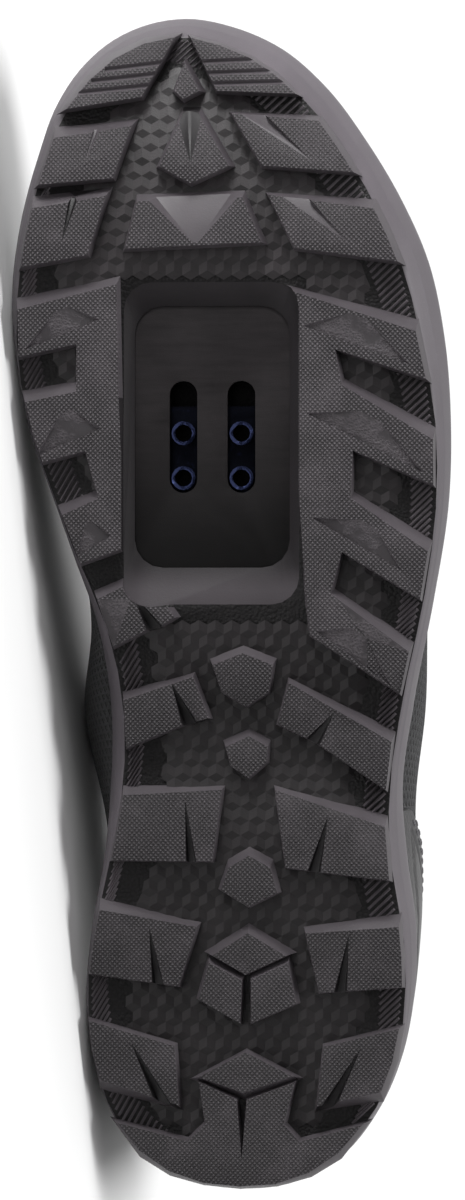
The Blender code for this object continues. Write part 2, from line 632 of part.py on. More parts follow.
def lug_stacks():
    """Each lug from its face on the ground to its root in the base."""
    middle_reach = 0.6
    full_reach_at = 0.42 * BALL_WIDTH
    stacks = []
    for corners in EDGE_LUGS.values():
        outline = lug_outline(corners)
        reach = np.clip(np.abs(outline[:, 0]) / full_reach_at, 0.2, 1.0)
        stacks.append([(outline, 0.0), (lug_root(outline, reach), LUG_DEPTH + LUG_SINK)])
    for corners in MIDDLE_LUGS.values():
        outline = lug_outline(corners)
        stacks.append([(outline, 0.0), (lug_root(outline, middle_reach), LUG_DEPTH + LUG_SINK)])
    return stacks


def make_darts(guides):
    """Cutter of the darts: each a wedge with a triangle on the face and a floor that falls from tip."""
    below = 0.0002
    vertices = []
    faces = []
    for first_along, first_across, other_along, other_across, tip_along, tip_across, \
            floor_from, floor_to, depth in DARTS:
        first = share_point(first_along, first_across)
        other = share_point(other_along, other_across)
        tip = share_point(tip_along, tip_across)
        floor = [first + (other - first) * share / 100 for share in (floor_from, floor_to)]
        start = len(vertices)
        vertices += [(*point, -below) for point in (first, other, tip)]
        vertices += [(*point, depth / 100 * LUG_DEPTH) for point in floor]
        wedge = [(0, 1, 2), (0, 3, 4, 1), (1, 4, 2), (0, 2, 3), (2, 4, 3)]
        x1, y1 = other - first
        x2, y2 = tip - first
        if x1 * y2 - y1 * x2 > 0:
            wedge = [face[::-1] for face in wedge]
        faces += [tuple(start + v for v in face) for face in wedge]
    return new_object("lug_darts", vertices, faces, guides)


def groove_stacks():
    """Each groove as a long wedge, wide at the lug's face and closed at its depth."""
    stacks = []
    for from_along, from_across, to_along, to_across in GROOVES:
        start = share_point(from_along, from_across)
        stop = share_point(to_along, to_across)
        onward = (stop - start) / np.linalg.norm(stop - start)
        across = np.array([onward[1], -onward[0]]) * GROOVE_WIDTH / 2
        wide = np.array([start - across, start + across, stop + across, stop - across])
        narrow = np.array([start - across * 0.1, start + across * 0.1,
                           stop + across * 0.1, stop - across * 0.1])
        over = GROOVE_DEPTH * 0.1
        stacks.append([(wide + (wide - narrow) * 0.1, -over), (narrow, GROOVE_DEPTH)])
    return stacks


def rounded_rectangle(width, length, radius, centre=(0.0, 0.0), corner_steps=4):
    """Counterclockwise rectangle with quarter-circle corners."""
    points = []
    for quarter, (sx, sy) in enumerate(((1, 1), (-1, 1), (-1, -1), (1, -1))):
        for step in range(corner_steps + 1):
            angle = math.pi / 2 * (quarter + step / corner_steps)
            points.append((centre[0] + sx * (width / 2 - radius) + radius * math.cos(angle),
                           centre[1] + sy * (length / 2 - radius) + radius * math.sin(angle)))
    return np.array(points)


CLEAT_CENTRE = (CLEAT_ACROSS * BALL_WIDTH, CLEAT_ALONG * LENGTH)
PLATE_BOTTOM = LUG_DEPTH + BASE_THICKNESS + FIT_GAP
PLATE_TOP = PLATE_BOTTOM + CLEAT_PLATE_THICKNESS
NUT_BOTTOM = PLATE_TOP + FIT_GAP
NUT_TOP = NUT_BOTTOM + NUT_PLATE_THICKNESS
NUT_OFFSET = -NUT_TRAVEL / 2


def recess_stack():
    """Cutter of the cleat's recess: straight at the plate, ramped out at its ends below that."""
    at_plate = rounded_rectangle(RECESS_WIDTH, RECESS_LENGTH, RECESS_CORNER, CLEAT_CENTRE)
    middle = (CLEAT_CENTRE[0], CLEAT_CENTRE[1] + (RECESS_FRONT_RAMP - RECESS_REAR_RAMP) / 2)
    at_tread = rounded_rectangle(RECESS_WIDTH + 2 * RECESS_SIDE_RAMP,
                                 RECESS_LENGTH + RECESS_FRONT_RAMP + RECESS_REAR_RAMP,
                                 RECESS_CORNER, middle)
    over = 0.001
    lip = 0.0002
    floor = LUG_DEPTH + BASE_THICKNESS
    return [[(at_tread, -over), (at_tread, LUG_DEPTH - lip), (at_plate, floor - lip),
             (at_plate, floor + over)]]


def combine(target, tool, operation):
    """Target's mesh joined with or cut by a tool's, worked out now, because it is bent afterwards."""
    modifier = target.modifiers.new(tool.name, "BOOLEAN")
    modifier.object = tool
    modifier.operation = operation
    modifier.solver = "EXACT"
    modifier.use_self = True
    graph = bpy.context.evaluated_depsgraph_get()
    mesh = bpy.data.meshes.new_from_object(target.evaluated_get(graph))
    target.modifiers.clear()
    old = target.data
    target.data = mesh
    bpy.data.meshes.remove(old)


def make_outsole(collection, guides):
    """Tray with its lugs, slits and recess, then bent by the toe spring and the arch."""
    outsole = make_tray(collection)
    combine(outsole, prisms("lug_blocks", lug_stacks(), guides), "UNION")
    combine(outsole, prisms("toe_grooves", groove_stacks(), guides), "DIFFERENCE")
    combine(outsole, make_darts(guides), "DIFFERENCE")
    combine(outsole, prisms("recess_tool", recess_stack(), guides), "DIFFERENCE")
    shape = bmesh.new()
    shape.from_mesh(outsole.data)
    bends = [ARCH_START + (ARCH_END - ARCH_START) * k / 4 for k in range(5)]
    bends += [TOE_BEND_START + (1 - TOE_BEND_START) * k / 5 for k in range(5)]
    for share in bends:
        bmesh.ops.bisect_plane(shape, geom=shape.verts[:] + shape.edges[:] + shape.faces[:], dist=1e-6,
                               plane_co=(0, share * LENGTH, 0), plane_no=(0, 1, 0))
    bmesh.ops.remove_doubles(shape, verts=shape.verts, dist=2e-5)
    bmesh.ops.triangulate(shape, faces=shape.faces)
    for vertex in shape.verts:
        vertex.co.z += float(rise(vertex.co.y))
    shape.to_mesh(outsole.data)
    shape.free()
    return outsole


def make_midsole(collection, guides):
    """Midsole that fills the tray and shows as a band above the rand at waist and heel."""
    stations = np.arange(STATIONS) / STATIONS
    y = outline_point(stations)[0][:, 1]
    inside = RAND_TOP_INSET + RAND_WALL + FIT_GAP
    shown = inside - (inside - MIDSOLE_TOP_INSET) * band_share(y)
    top = stack(y)
    step = np.minimum(RAND_HEIGHT + FIT_GAP, top - MIDSOLE_BAND_LEAST)
    rings = [
        ring(tray_floor_inset(stations) + FIT_GAP, PLATE_BOTTOM, stations),
        ring(inside, WALL_BREAK + FIT_GAP, stations),
        ring(inside, step, stations),
        ring(shown, step + MIDSOLE_EDGE, stations),
        ring(shown - MIDSOLE_CROWN * band_share(y), (step + top) / 2 + MIDSOLE_EDGE / 3, stations),
        ring(shown + MIDSOLE_EDGE, top, stations),
    ]
    faces = ring_faces(len(rings), STATIONS)
    faces += strip_cap(0, STATIONS, False)
    faces += strip_cap((len(rings) - 1) * STATIONS, STATIONS, True)
    midsole = new_object("midsole", bent(np.concatenate(rings)), faces, collection, "midsole")
    plate_room = rounded_rectangle(CLEAT_PLATE_WIDTH + 2 * FIT_GAP, CLEAT_PLATE_LENGTH + 2 * FIT_GAP,
                                   CLEAT_PLATE_CORNER, CLEAT_CENTRE)
    nut_room = rounded_rectangle(SLOT_SPACING + 2 * NUT_PLATE_MARGIN + 2 * FIT_GAP,
                                 BOSS_SPACING + 2 * NUT_PLATE_MARGIN + NUT_TRAVEL + 4 * FIT_GAP,
                                 NUT_PLATE_CORNER, CLEAT_CENTRE)
    tools = prisms("plate_pocket", [[(plate_room, PLATE_BOTTOM - 0.001), (plate_room, PLATE_TOP + FIT_GAP)]],
                   guides)
    combine(midsole, tools, "DIFFERENCE")
    tools = prisms("nut_pocket", [[(nut_room, PLATE_TOP), (nut_room, NUT_TOP + FIT_GAP)]], guides)
    combine(midsole, tools, "DIFFERENCE")
    return midsole


def stadium(width, length, centre):
    """Slot outline with half-round ends, pointing along the shoe."""
    return rounded_rectangle(width, length, width / 2 - 1e-5, centre, 6)


def make_cleat_plate(collection, guides):
    """Flat plate with two slots, seated on the outsole's base."""
    outline = rounded_rectangle(CLEAT_PLATE_WIDTH, CLEAT_PLATE_LENGTH, CLEAT_PLATE_CORNER, CLEAT_CENTRE)
    plate = prisms("cleat_plate", [[(outline, PLATE_BOTTOM), (outline, PLATE_TOP)]], collection,
                   "cleat_plate")
    slots = []
    for side in (-1, 1):
        centre = (CLEAT_CENTRE[0] + side * SLOT_SPACING / 2, CLEAT_CENTRE[1])
        slot = stadium(SLOT_WIDTH, SLOT_LENGTH, centre)
        slots.append([(slot, PLATE_BOTTOM - 0.001), (slot, PLATE_TOP + 0.001)])
    combine(plate, prisms("slot_tool", slots, guides), "DIFFERENCE")
    return plate


def circle(radius, centre, count=16):
    """Counterclockwise circle."""
    return np.array([(centre[0] + radius * math.cos(2 * math.pi * k / count),
                      centre[1] + radius * math.sin(2 * math.pi * k / count)) for k in range(count)])


def make_nut_plate(collection, guides):
    """Sliding nut plate: four threaded bosses that stand in the slots."""
    centre = (CLEAT_CENTRE[0], CLEAT_CENTRE[1] + NUT_OFFSET)
    outline = rounded_rectangle(SLOT_SPACING + 2 * NUT_PLATE_MARGIN, BOSS_SPACING + 2 * NUT_PLATE_MARGIN,
                                NUT_PLATE_CORNER, centre)
    plate = prisms("cleat_nut_plate", [[(outline, NUT_BOTTOM), (outline, NUT_TOP)]], collection,
                   "cleat_nut_plate")
    places = [(centre[0] + sx * SLOT_SPACING / 2, centre[1] + sy * BOSS_SPACING / 2)
              for sx in (-1, 1) for sy in (-1, 1)]
    boss_face = PLATE_BOTTOM + FIT_GAP
    bosses = [[(circle(BOSS_RADIUS, place), boss_face), (circle(BOSS_RADIUS, place), NUT_BOTTOM + 0.0005)]
              for place in places]
    holes = [[(circle(BOLT_RADIUS, place, 12), boss_face - 0.001),
              (circle(BOLT_RADIUS, place, 12), NUT_TOP + 0.001)] for place in places]
    combine(plate, prisms("boss_blocks", bosses, guides), "UNION")
    combine(plate, prisms("bolt_holes", holes, guides), "DIFFERENCE")
    return plate


def make_insole(collection):
    """Insole inside the upper, its edge turned up a little at the heel and the arch."""
    stations = np.arange(STATIONS) / STATIONS
    y = outline_point(stations)[0][:, 1]
    outer = feather_inset(y) + UPPER_WALL + 2 * FIT_GAP
    bottom = stack(y) + FIT_GAP
    lip = INSOLE_LIP * band_share(y)
    rings = [
        ring(outer, bottom, stations),
        ring(outer, bottom + INSOLE_THICKNESS * 0.9 + lip, stations),
        ring(outer + INSOLE_LIP_WIDTH, bottom + INSOLE_THICKNESS + lip, stations),
        ring(outer + INSOLE_DISH_WIDTH, bottom + INSOLE_THICKNESS, stations),
    ]
    faces = ring_faces(len(rings), STATIONS)
    faces += strip_cap(0, STATIONS, False)
    faces += strip_cap((len(rings) - 1) * STATIONS, STATIONS, True)
    return new_object("insole", bent(np.concatenate(rings)), faces, collection, "insole")


def overlay_grid(first, last, rows, low_share, high_share, end_run):
    """Stations and shares of a patch on the wall that rises from low ends to its full height.

    Its stations are the upper's own, so the two faceted surfaces stay the same gap apart.
    """
    station = np.arange(math.ceil(first * STATIONS), math.floor(last * STATIONS) + 1) / STATIONS
    inward = np.minimum(station - station[0], station[-1] - station) * STATIONS / end_run
    v = np.linspace(0.0, 1.0, rows)[None, :]
    low = low_share(station)[:, None]
    high = low + (high_share - low) * (0.2 + 0.8 * np.sin(math.pi / 2 * np.clip(inward, 0, 1)))[:, None]
    return np.broadcast_to(station[:, None], (len(station), rows)), low + (high - low) * v


def share_at_height(station, height):
    """Share of the wall at which it passes a height above its own ground line."""
    steps = np.linspace(0.0, 0.4, 41)
    found = []
    for one in np.ravel(station):
        curve = wall_centre(np.full(41, one), steps)
        found.append(np.interp(height, curve[:, 2] - rise(curve[:, 1]), steps))
    return np.reshape(found, np.shape(station))


def above_sole(station):
    """Lowest share of an overlay: just clear of the rand and the midsole."""
    y = outline_point(station)[0][..., 1]
    clear = np.maximum(RAND_HEIGHT, stack(y)) + 3 * FIT_GAP
    shares = [share_at_height(np.array([s]), c)[0] for s, c in zip(np.ravel(station), np.ravel(clear))]
    return np.reshape(shares, np.shape(station))


def make_overlay(name, collection, station, share):
    """Overlay from the upper's own surface, thin at its border."""
    rows, columns = station.shape
    edge_u = np.minimum(np.arange(rows), np.arange(rows)[::-1])[:, None]
    edge_v = np.minimum(np.arange(columns), np.arange(columns)[::-1])[None, :]
    thin = np.where((edge_u == 0) | (edge_v == 0), 0.55, 1.0)
    inner = wall_point(station, share, OVERLAY_GAP)
    outer = wall_point(station, share, OVERLAY_GAP + OVERLAY_THICKNESS * thin)
    vertices, faces = sheet_solid(inner, outer)
    return new_object(name, vertices, faces, collection, name)


def make_toe_cap(collection):
    """Toe cap round the front of the upper, above the rand."""
    station, share = overlay_grid(station_of("medial", 77), station_of("lateral", 79), 7,
                                  above_sole, 0.47, 8)
    return make_overlay("toe_cap", collection, station, share)


def make_heel_counter(collection):
    """Heel counter round the back of the upper, its front edges slanting back as they rise."""
    station, share = overlay_grid(station_of("lateral", 33) - 1.0, station_of("medial", 30), 7,
                                  above_sole, 0.61, 4)
    return make_overlay("heel_counter", collection, station, share)


# The throat's two edges: stations of wall ends that face each other, from the front to the top
THROAT_ROWS = [(9, 11), (8, 12), (7, 13), (6, 14), (5, 15), (4, 16)]


def throat_pair(place):
    """Medial and lateral stations whose top edges face each other, at a share of the throat."""
    along = np.array([UPPER_SECTIONS[m][2] for m, _ in THROAT_ROWS])
    wanted = along[0] + (along[-1] - along[0]) * np.asarray(place)
    medial = np.interp(-wanted, -along, [SECTION_STATIONS[m] for m, _ in THROAT_ROWS])
    lateral = np.interp(-wanted, -along, [SECTION_STATIONS[n] for _, n in THROAT_ROWS])
    return medial, lateral


def across_throat(place, lateral_end, medial_end, offset, crown, middle_steps=5):
    """Row of points from one wall, over the throat, to the other wall.

    On a wall the points follow its surface at an offset that is a function of station and share;
    between the edges they follow a shallow arc that stands a crown above the straight line.
    """
    medial, lateral = throat_pair(place)
    steps = np.array(WALL_STEPS)
    up = np.concatenate([[lateral_end], steps[steps > lateral_end + 0.01]])
    first = wall_point(np.full(len(up), lateral), up, offset(lateral, up))
    down = np.concatenate([[medial_end], steps[steps > medial_end + 0.01]])[::-1]
    last = wall_point(np.full(len(down), medial), down, offset(medial, down))
    t = np.linspace(0.0, 1.0, middle_steps + 2)[1:-1, None]
    lift = (wall_point(medial, 1.0, 1.0) - wall_point(medial, 1.0, 0.0)
            + wall_point(lateral, 1.0, 1.0) - wall_point(lateral, 1.0, 0.0))
    lift /= np.linalg.norm(lift)
    middle = first[-1] * (1 - t) + last[0] * t + lift * crown * 4 * t * (1 - t)
    return np.concatenate([first, middle, last])


def strap_offset(station, share):
    """A strap's underside: just off the wall, and over the eyestay's step."""
    climb = smooth((np.asarray(share) - 0.70) / 0.085)
    return FIT_GAP + EYESTAY_RAISE * throat_share(station) * climb


def make_strap(name, place, half_width, lateral_end, medial_end, collection):
    """Closing strap across the throat."""
    throat_length = (UPPER_SECTIONS[9][2] - UPPER_SECTIONS[4][2]) / 100 * LENGTH
    reach = half_width / 1000 / throat_length
    places = np.linspace(place / 100 - reach, place / 100 + reach, 4)
    layers = []
    for extra in (0.0, STRAP_THICKNESS):
        def offset(station, share, extra=extra):
            return strap_offset(station, share) + extra
        rows = [across_throat(p, lateral_end, medial_end, offset, STRAP_CROWN) for p in places]
        layers.append(np.array(rows))
    vertices, faces = sheet_solid(*layers)
    return new_object(name, vertices, faces, collection, "strap")


def make_tongue(collection):
    """Tongue under the throat's edges, reaching under the vamp and above the collar."""
    side_end = 0.84
    places = [0.03, 0.15, 0.30, 0.45, 0.60, 0.75, 0.90]
    full_crown_at = 0.25
    layers = []
    for depth in (TONGUE_GAP + TONGUE_THICKNESS, TONGUE_GAP):
        def offset(station, share, depth=depth):
            return -(wall_thickness(station, share) + depth)
        rows = [across_throat(p, side_end, side_end, offset, TONGUE_CROWN * min(1.0, p / full_crown_at))
                for p in places]
        medial, lateral = throat_pair(places[0])
        fan = np.linspace(lateral, medial, len(rows[0]))
        rows.insert(0, wall_point(fan, 0.80, offset(fan, 0.80) - TONGUE_UNDER_VAMP))
        for up, back, narrowing in TONGUE_TOP:
            rows.append(rows[-1] * [narrowing, 1.0, 1.0] + [0.0, -back, up])
        layers.append(np.array(rows))
    vertices, faces = sheet_solid(*layers)
    return new_object("tongue", vertices, faces, collection, "tongue")


def volume_centre(thing):
    """Volume and centre of a closed mesh, from its triangles' cones to the origin."""
    thing.data.calc_loop_triangles()
    points = np.array([v.co for v in thing.data.vertices])
    corners = points[np.array([t.vertices for t in thing.data.loop_triangles])]
    cones = np.einsum("ij,ij->i", corners[:, 0], np.cross(corners[:, 1], corners[:, 2])) / 6
    centre = (cones[:, None] * corners.sum(axis=1) / 4).sum(axis=0) / cones.sum()
    return cones.sum(), centre


def resting_matrix(pieces):
    """Turn and move that lay the shoe on its medial side, where it stays by itself.

    The side it lies on is the face of the pieces' convex hull that points most to the medial side
    and has the centre of mass above it.
    """
    mass = 0.0
    centre = np.zeros(3)
    hull = bmesh.new()
    for piece in pieces:
        volume, middle = volume_centre(piece)
        weight = volume * DENSITIES.get(piece.name, SOFT_DENSITY)
        mass += weight
        centre += weight * middle
        for vertex in piece.data.vertices:
            hull.verts.new(vertex.co)
    centre = Vector(centre / mass)
    bmesh.ops.convex_hull(hull, input=hull.verts)
    resting = None
    for face in hull.faces:
        if face.normal.x < 0.5 or len(face.verts) != 3:
            continue
        below = centre - face.normal * (centre - face.verts[0].co).dot(face.normal)
        corners = [v.co for v in face.verts]
        turns = [(corners[(k + 1) % 3] - corners[k]).cross(below - corners[k]).dot(face.normal)
                 for k in range(3)]
        if min(turns) >= 0 and (resting is None or face.calc_area() > resting[0]):
            resting = (face.calc_area(), face.normal.copy())
    hull.free()
    normal = resting[1]
    up = -normal
    back = -(Vector((0, 1, 0)) - normal * normal.y).normalized()
    away = up.cross(back)
    turn = Matrix((back, away, up)).to_4x4()
    corners = [turn @ v.co for piece in pieces for v in piece.data.vertices]
    low = [min(c[k] for c in corners) for k in range(3)]
    high = [max(c[k] for c in corners) for k in range(3)]
    return Matrix.Translation((-(low[0] + high[0]) / 2, -(low[1] + high[1]) / 2, -low[2])) @ turn


def main():
    """Make every piece, then lay the shoe down."""
    shoe = bpy.data.collections.new("cycling_shoe")
    guides = bpy.data.collections.new("cutters")
    for collection in (shoe, guides):
        bpy.context.scene.collection.children.link(collection)
    pieces = [
        make_outsole(shoe, guides),
        make_midsole(shoe, guides),
        make_cleat_plate(shoe, guides),
        make_nut_plate(shoe, guides),
        make_insole(shoe),
        make_upper(shoe),
        make_tongue(shoe),
        make_toe_cap(shoe),
        make_heel_counter(shoe),
    ]
    pieces += [make_strap(*row, shoe) for row in STRAPS]
    frame = bpy.data.objects.new("shoe_axes", None)
    shoe.objects.link(frame)
    frame.matrix_world = resting_matrix(pieces)
    for piece in pieces:
        piece.parent = frame
        piece.data.shade_smooth()
        piece.data.set_sharp_from_angle(angle=math.radians(35))


main()
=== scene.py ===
"""Looks of an off-road cycling shoe that lies on its medial side.

Lengths are metres. Shapes are worked out in the shoe's own axes, X towards the medial side, Y
towards the toe and Z up from the tread, with the heel's back at Y = 0, and then laid down.
"""
import json
import math

import bmesh
import bpy
import numpy as np
from mathutils import Matrix, Vector


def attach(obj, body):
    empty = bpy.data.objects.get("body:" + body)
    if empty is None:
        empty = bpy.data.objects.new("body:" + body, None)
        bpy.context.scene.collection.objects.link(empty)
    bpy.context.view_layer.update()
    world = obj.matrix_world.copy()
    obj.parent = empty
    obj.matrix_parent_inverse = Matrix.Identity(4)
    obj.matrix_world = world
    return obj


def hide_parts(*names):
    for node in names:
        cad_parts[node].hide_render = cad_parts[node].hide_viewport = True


bl_info = {
    "name": "Off-road cycling shoe",
    "version": (1, 0, 0),
    "blender": (4, 5, 0),
    "location": "View3D > Sidebar > Shoe",
    "description": "Dresses an off-road cycling shoe seen from under its sole",
    "category": "Object",
}

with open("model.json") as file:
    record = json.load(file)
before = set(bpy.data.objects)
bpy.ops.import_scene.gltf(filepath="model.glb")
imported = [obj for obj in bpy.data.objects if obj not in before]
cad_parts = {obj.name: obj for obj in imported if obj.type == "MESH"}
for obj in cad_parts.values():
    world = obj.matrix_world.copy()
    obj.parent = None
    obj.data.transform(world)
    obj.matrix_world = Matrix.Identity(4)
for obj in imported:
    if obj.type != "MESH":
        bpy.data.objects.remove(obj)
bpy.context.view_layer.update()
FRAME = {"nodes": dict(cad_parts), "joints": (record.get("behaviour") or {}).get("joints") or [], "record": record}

# The sole's widest outline, from the heel's back round by the medial side:
# along (% of length), across (% of ball width, medial positive), flare (% of the rand's flare)
OUTLINE = [
    (0.0, 0.2, 18), (1.1, 15.0, 16), (3.7, 24.9, 15), (10.4, 33.5, 14), (16.3, 35.5, 15),
    (22.2, 34.3, 20), (28.1, 31.6, 35), (34.9, 30.3, 58), (41.6, 30.5, 56), (48.0, 33.2, 40),
    (53.4, 38.2, 20), (58.5, 43.0, 16), (64.0, 48.2, 16), (70.0, 51.4, 18), (76.2, 52.6, 36),
    (82.1, 50.7, 44), (88.0, 46.9, 50), (92.2, 43.3, 58), (95.6, 37.9, 76), (98.1, 30.8, 84),
    (99.6, 22.0, 84), (100.0, 13.5, 84), (99.2, 3.0, 88), (97.2, -8.3, 92), (93.9, -18.2, 92),
    (88.9, -28.1, 92), (83.8, -36.1, 92), (78.7, -42.0, 92), (72.4, -45.6, 82), (65.2, -47.1, 52),
    (58.5, -46.7, 40), (50.1, -43.3, 30), (41.6, -38.8, 36), (34.0, -36.1, 40), (28.1, -37.3, 56),
    (22.2, -39.3, 42), (16.3, -38.8, 26), (11.3, -36.1, 14), (7.0, -31.2, 12), (2.8, -22.4, 14),
    (0.6, -11.9, 16),
]

# Sections of the upper's wall from the heel's back round by the medial side. Foot: side and along
# (% of length). Top edge: along, across (% of ball width) and height (% of the named height).
# Low and high handle of the curve: out (% of ball width) and up or down (% of instep height).
UPPER_SECTIONS = [
    ("medial", 0.0, 4.0, 0.0, "collar", 100.0, 2.0, 22.0, 5.0, 28.0),
    ("medial", 8.0, 8.5, 21.5, "collar", 95.0, 0.8, 22.0, 3.0, 24.0),
    ("medial", 20.0, 20.0, 28.5, "collar", 82.0, 0.5, 21.0, 2.5, 18.0),
    ("medial", 31.0, 29.5, 28.5, "collar", 85.0, 8.0, 21.0, 7.5, 21.0),
    ("medial", 42.0, 38.5, 20.5, "instep", 100.0, 19.5, 19.0, 21.0, 20.0),
    ("medial", 52.0, 46.0, 15.5, "instep", 91.5, 10.0, 24.0, 20.0, 13.0),
    ("medial", 62.0, 54.0, 13.5, "instep", 80.0, 3.5, 27.0, 19.0, 9.0),
    ("medial", 72.0, 61.0, 11.5, "instep", 69.5, 1.5, 27.0, 19.0, 7.0),
    ("medial", 82.0, 66.0, 8.5, "instep", 63.0, 1.0, 26.0, 18.0, 5.5),
    ("medial", 92.0, 68.8, 4.8, "instep", 60.5, 1.0, 25.0, 25.0, 7.0),
    ("medial", 100.0, 69.6, 1.0, "instep", 60.0, 1.5, 25.0, 38.0, 6.0),
    ("lateral", 92.0, 68.9, -3.2, "instep", 60.3, 1.0, 24.0, 25.0, 7.5),
    ("lateral", 82.0, 66.3, -7.3, "instep", 62.5, 1.0, 23.0, 18.0, 7.0),
    ("lateral", 72.0, 61.3, -10.3, "instep", 68.5, 1.5, 23.0, 17.0, 8.5),
    ("lateral", 62.0, 54.3, -12.5, "instep", 79.0, 2.5, 24.0, 18.0, 10.5),
    ("lateral", 52.0, 46.3, -14.5, "instep", 90.5, 6.0, 25.0, 18.0, 15.0),
    ("lateral", 42.0, 38.8, -20.0, "instep", 99.0, 11.0, 22.0, 17.0, 21.0),
    ("lateral", 31.0, 29.5, -28.5, "collar", 82.0, 9.5, 21.0, 8.0, 20.0),
    ("lateral", 20.0, 20.0, -30.0, "collar", 79.0, 4.0, 21.0, 4.0, 17.0),
    ("lateral", 8.0, 8.5, -22.5, "collar", 94.0, 3.0, 22.0, 4.0, 24.0),
]
# Rows of UPPER_SECTIONS whose top edges face each other over the throat, from its front to its top
THROAT_ROWS = [(9, 11), (8, 12), (7, 13), (6, 14), (5, 15), (4, 16)]

# Straps: place along the throat (% from its front), half width (mm), how far down the lateral and
# the medial wall they reach, as the wall's share where they end
STRAPS = {
    "strap_front": (17.0, 9.0, 0.41, 0.31),
    "strap_middle": (46.0, 9.5, 0.41, 0.31),
    "strap_top": (77.0, 12.0, 0.51, 0.51),
}

# Creases across the vamp: from and to in % (along, across), depth and half width in mm
CREASES = [
    (71.5, 34.0, 74.5, 4.0, 0.9, 2.6),
    (74.5, 4.0, 71.0, -30.0, 0.8, 2.6),
    (76.0, 38.0, 78.0, 10.0, 0.6, 2.2),
    (77.5, -2.0, 75.0, -34.0, 0.7, 2.3),
    (66.0, 38.0, 69.5, 16.0, 0.5, 2.0),
    (66.5, -20.0, 63.5, -38.0, 0.5, 2.0),
]

# Sizes that the solids share, in metres
LUG_DEPTH = 0.005
BASE_THICKNESS = 0.003
TOE_SPRING = 0.016
ARCH_RISE = 0.004
RAND_HEIGHT = 0.0175
RAND_FLARE = 0.0066
RAND_WALL = 0.0022
RAND_TOP_INSET = 0.0012
MIDSOLE_TOP_INSET = 0.0014
MIDSOLE_CROWN = 0.0004
MIDSOLE_BAND_LEAST = 0.0012
WALL_BREAK = 0.0115
EDGE_MARGIN = 0.0009
FOREFOOT_STACK = 0.0152
HEEL_STACK = 0.0235
INSOLE_THICKNESS = 0.004
INSOLE_LIP = 0.0016
UPPER_WALL = 0.0022
COLLAR_PADDING = 0.0030
EYESTAY_RAISE = 0.0010
OVERLAY_THICKNESS = 0.0013
TONGUE_THICKNESS = 0.0045
TONGUE_CROWN = 0.0012
STRAP_THICKNESS = 0.0018
STRAP_CROWN = 0.0035
FIT_GAP = 0.0003
OVERLAY_GAP = 0.00055
TONGUE_GAP = 0.0008
FEATHER_HIGH = 0.0034
FEATHER_SLACK = 0.0004
FEATHER_DEEP = RAND_TOP_INSET + RAND_WALL + FIT_GAP + FEATHER_SLACK
BAND_START = 0.0008
BAND_RUN = 0.003
RECESS_LENGTH = 0.063
RECESS_WIDTH = 0.0374
RECESS_SIDE_RAMP = 0.0026
RECESS_FRONT_RAMP = 0.0060
RECESS_REAR_RAMP = 0.0095

# How far the flat faces of the CAD floor may lie under its curve in the arch, in metres
ARCH_SAG = 0.0005

# Where the shoe bends and the cleat sits, as shares of its length and ball width
TOE_BEND_START = 0.80
ARCH_START = 0.27
ARCH_END = 0.50
ARCH_EASE = 0.05
STACK_END = 0.64
STACK_RUN = 0.34
CLEAT_ALONG = 0.6375
CLEAT_ACROSS = 0.065

# Power of the distance past its start with which the toe spring grows
TOE_BEND_POWER = 1.6

# Where the collar's padding starts and how far it takes to grow, as shares of the wall
PADDING_START = 0.55
PADDING_RUN = 0.25

# Narrow darts in the lugs' faces, painted darker than the rest as the shade in their depth: each one's two corners
# and its tip, along the shoe and across it, in %
DARTS = [
    (47.0, 20.4, 47.6, 16.6, 50.7, 24.2), (39.2, 13.0, 39.5, 9.2, 43.1, 15.5),
    (27.2, 11.9, 27.2, 9.1, 33.4, 12.3), (16.8, 19.4, 16.8, 16.2, 22.7, 20.2),
    (7.2, 18.4, 7.0, 14.0, 13.0, 24.5), (37.6, -12.8, 37.6, -17.8, 40.7, -21.5),
    (26.4, -14.5, 26.4, -18.1, 32.0, -20.0), (16.6, -20.9, 16.6, -24.2, 22.1, -24.7),
    (7.0, -17.5, 7.4, -21.8, 12.6, -27.6), (84.4, 38.0, 84.4, 35.6, 79.8, 40.0),
    (91.8, 15.3, 91.8, 7.9, 86.3, 11.0),
]

# The tongue above the throat, row by row: up and back (m), and how much narrower than the last row
TONGUE_TOP = [(0.009, 0.005, 0.72), (0.008, 0.005, 0.95), (0.007, 0.005, 0.95)]

# Steps of the grids, and the rest of what several pieces share
CAD_STATIONS = 64
ROUND_STEPS = 288
WALL_STEPS = 34
ARC_STEPS = 30
EDGE_POINTS = 720
STITCH_PITCH = 0.0029
STITCH_RADIUS = 0.00038
SHADE_ANGLE = math.radians(32)
WELD = 2e-6
MM = 1000.0


def size_property(name, description, default):
    """A length that the user can change."""
    return bpy.props.FloatProperty(name=name, description=description, default=default, unit="LENGTH")


class ShoeSizes(bpy.types.PropertyGroup):
    """Driving sizes of the shoe."""

    length: size_property("Length", "Heel's back to toe's tip", 0.285)
    ball_width: size_property("Ball width", "Width that shares across are taken of", 0.107)
    instep_height: size_property("Instep height", "Top of the throat above the tread", 0.094)
    collar_height: size_property("Collar height", "Back of the collar above the tread", 0.088)
    edge_round: size_property("Edge rounding", "Rounding of the lugs' edges", 0.00035)
    stitch: size_property("Stitch length", "Length of one stitch", 0.0022)


def colour_property(name, description, default):
    """A colour that the user can change."""
    return bpy.props.FloatVectorProperty(
        name=name, description=description, default=default, subtype="COLOR", min=0.0, max=1.0)


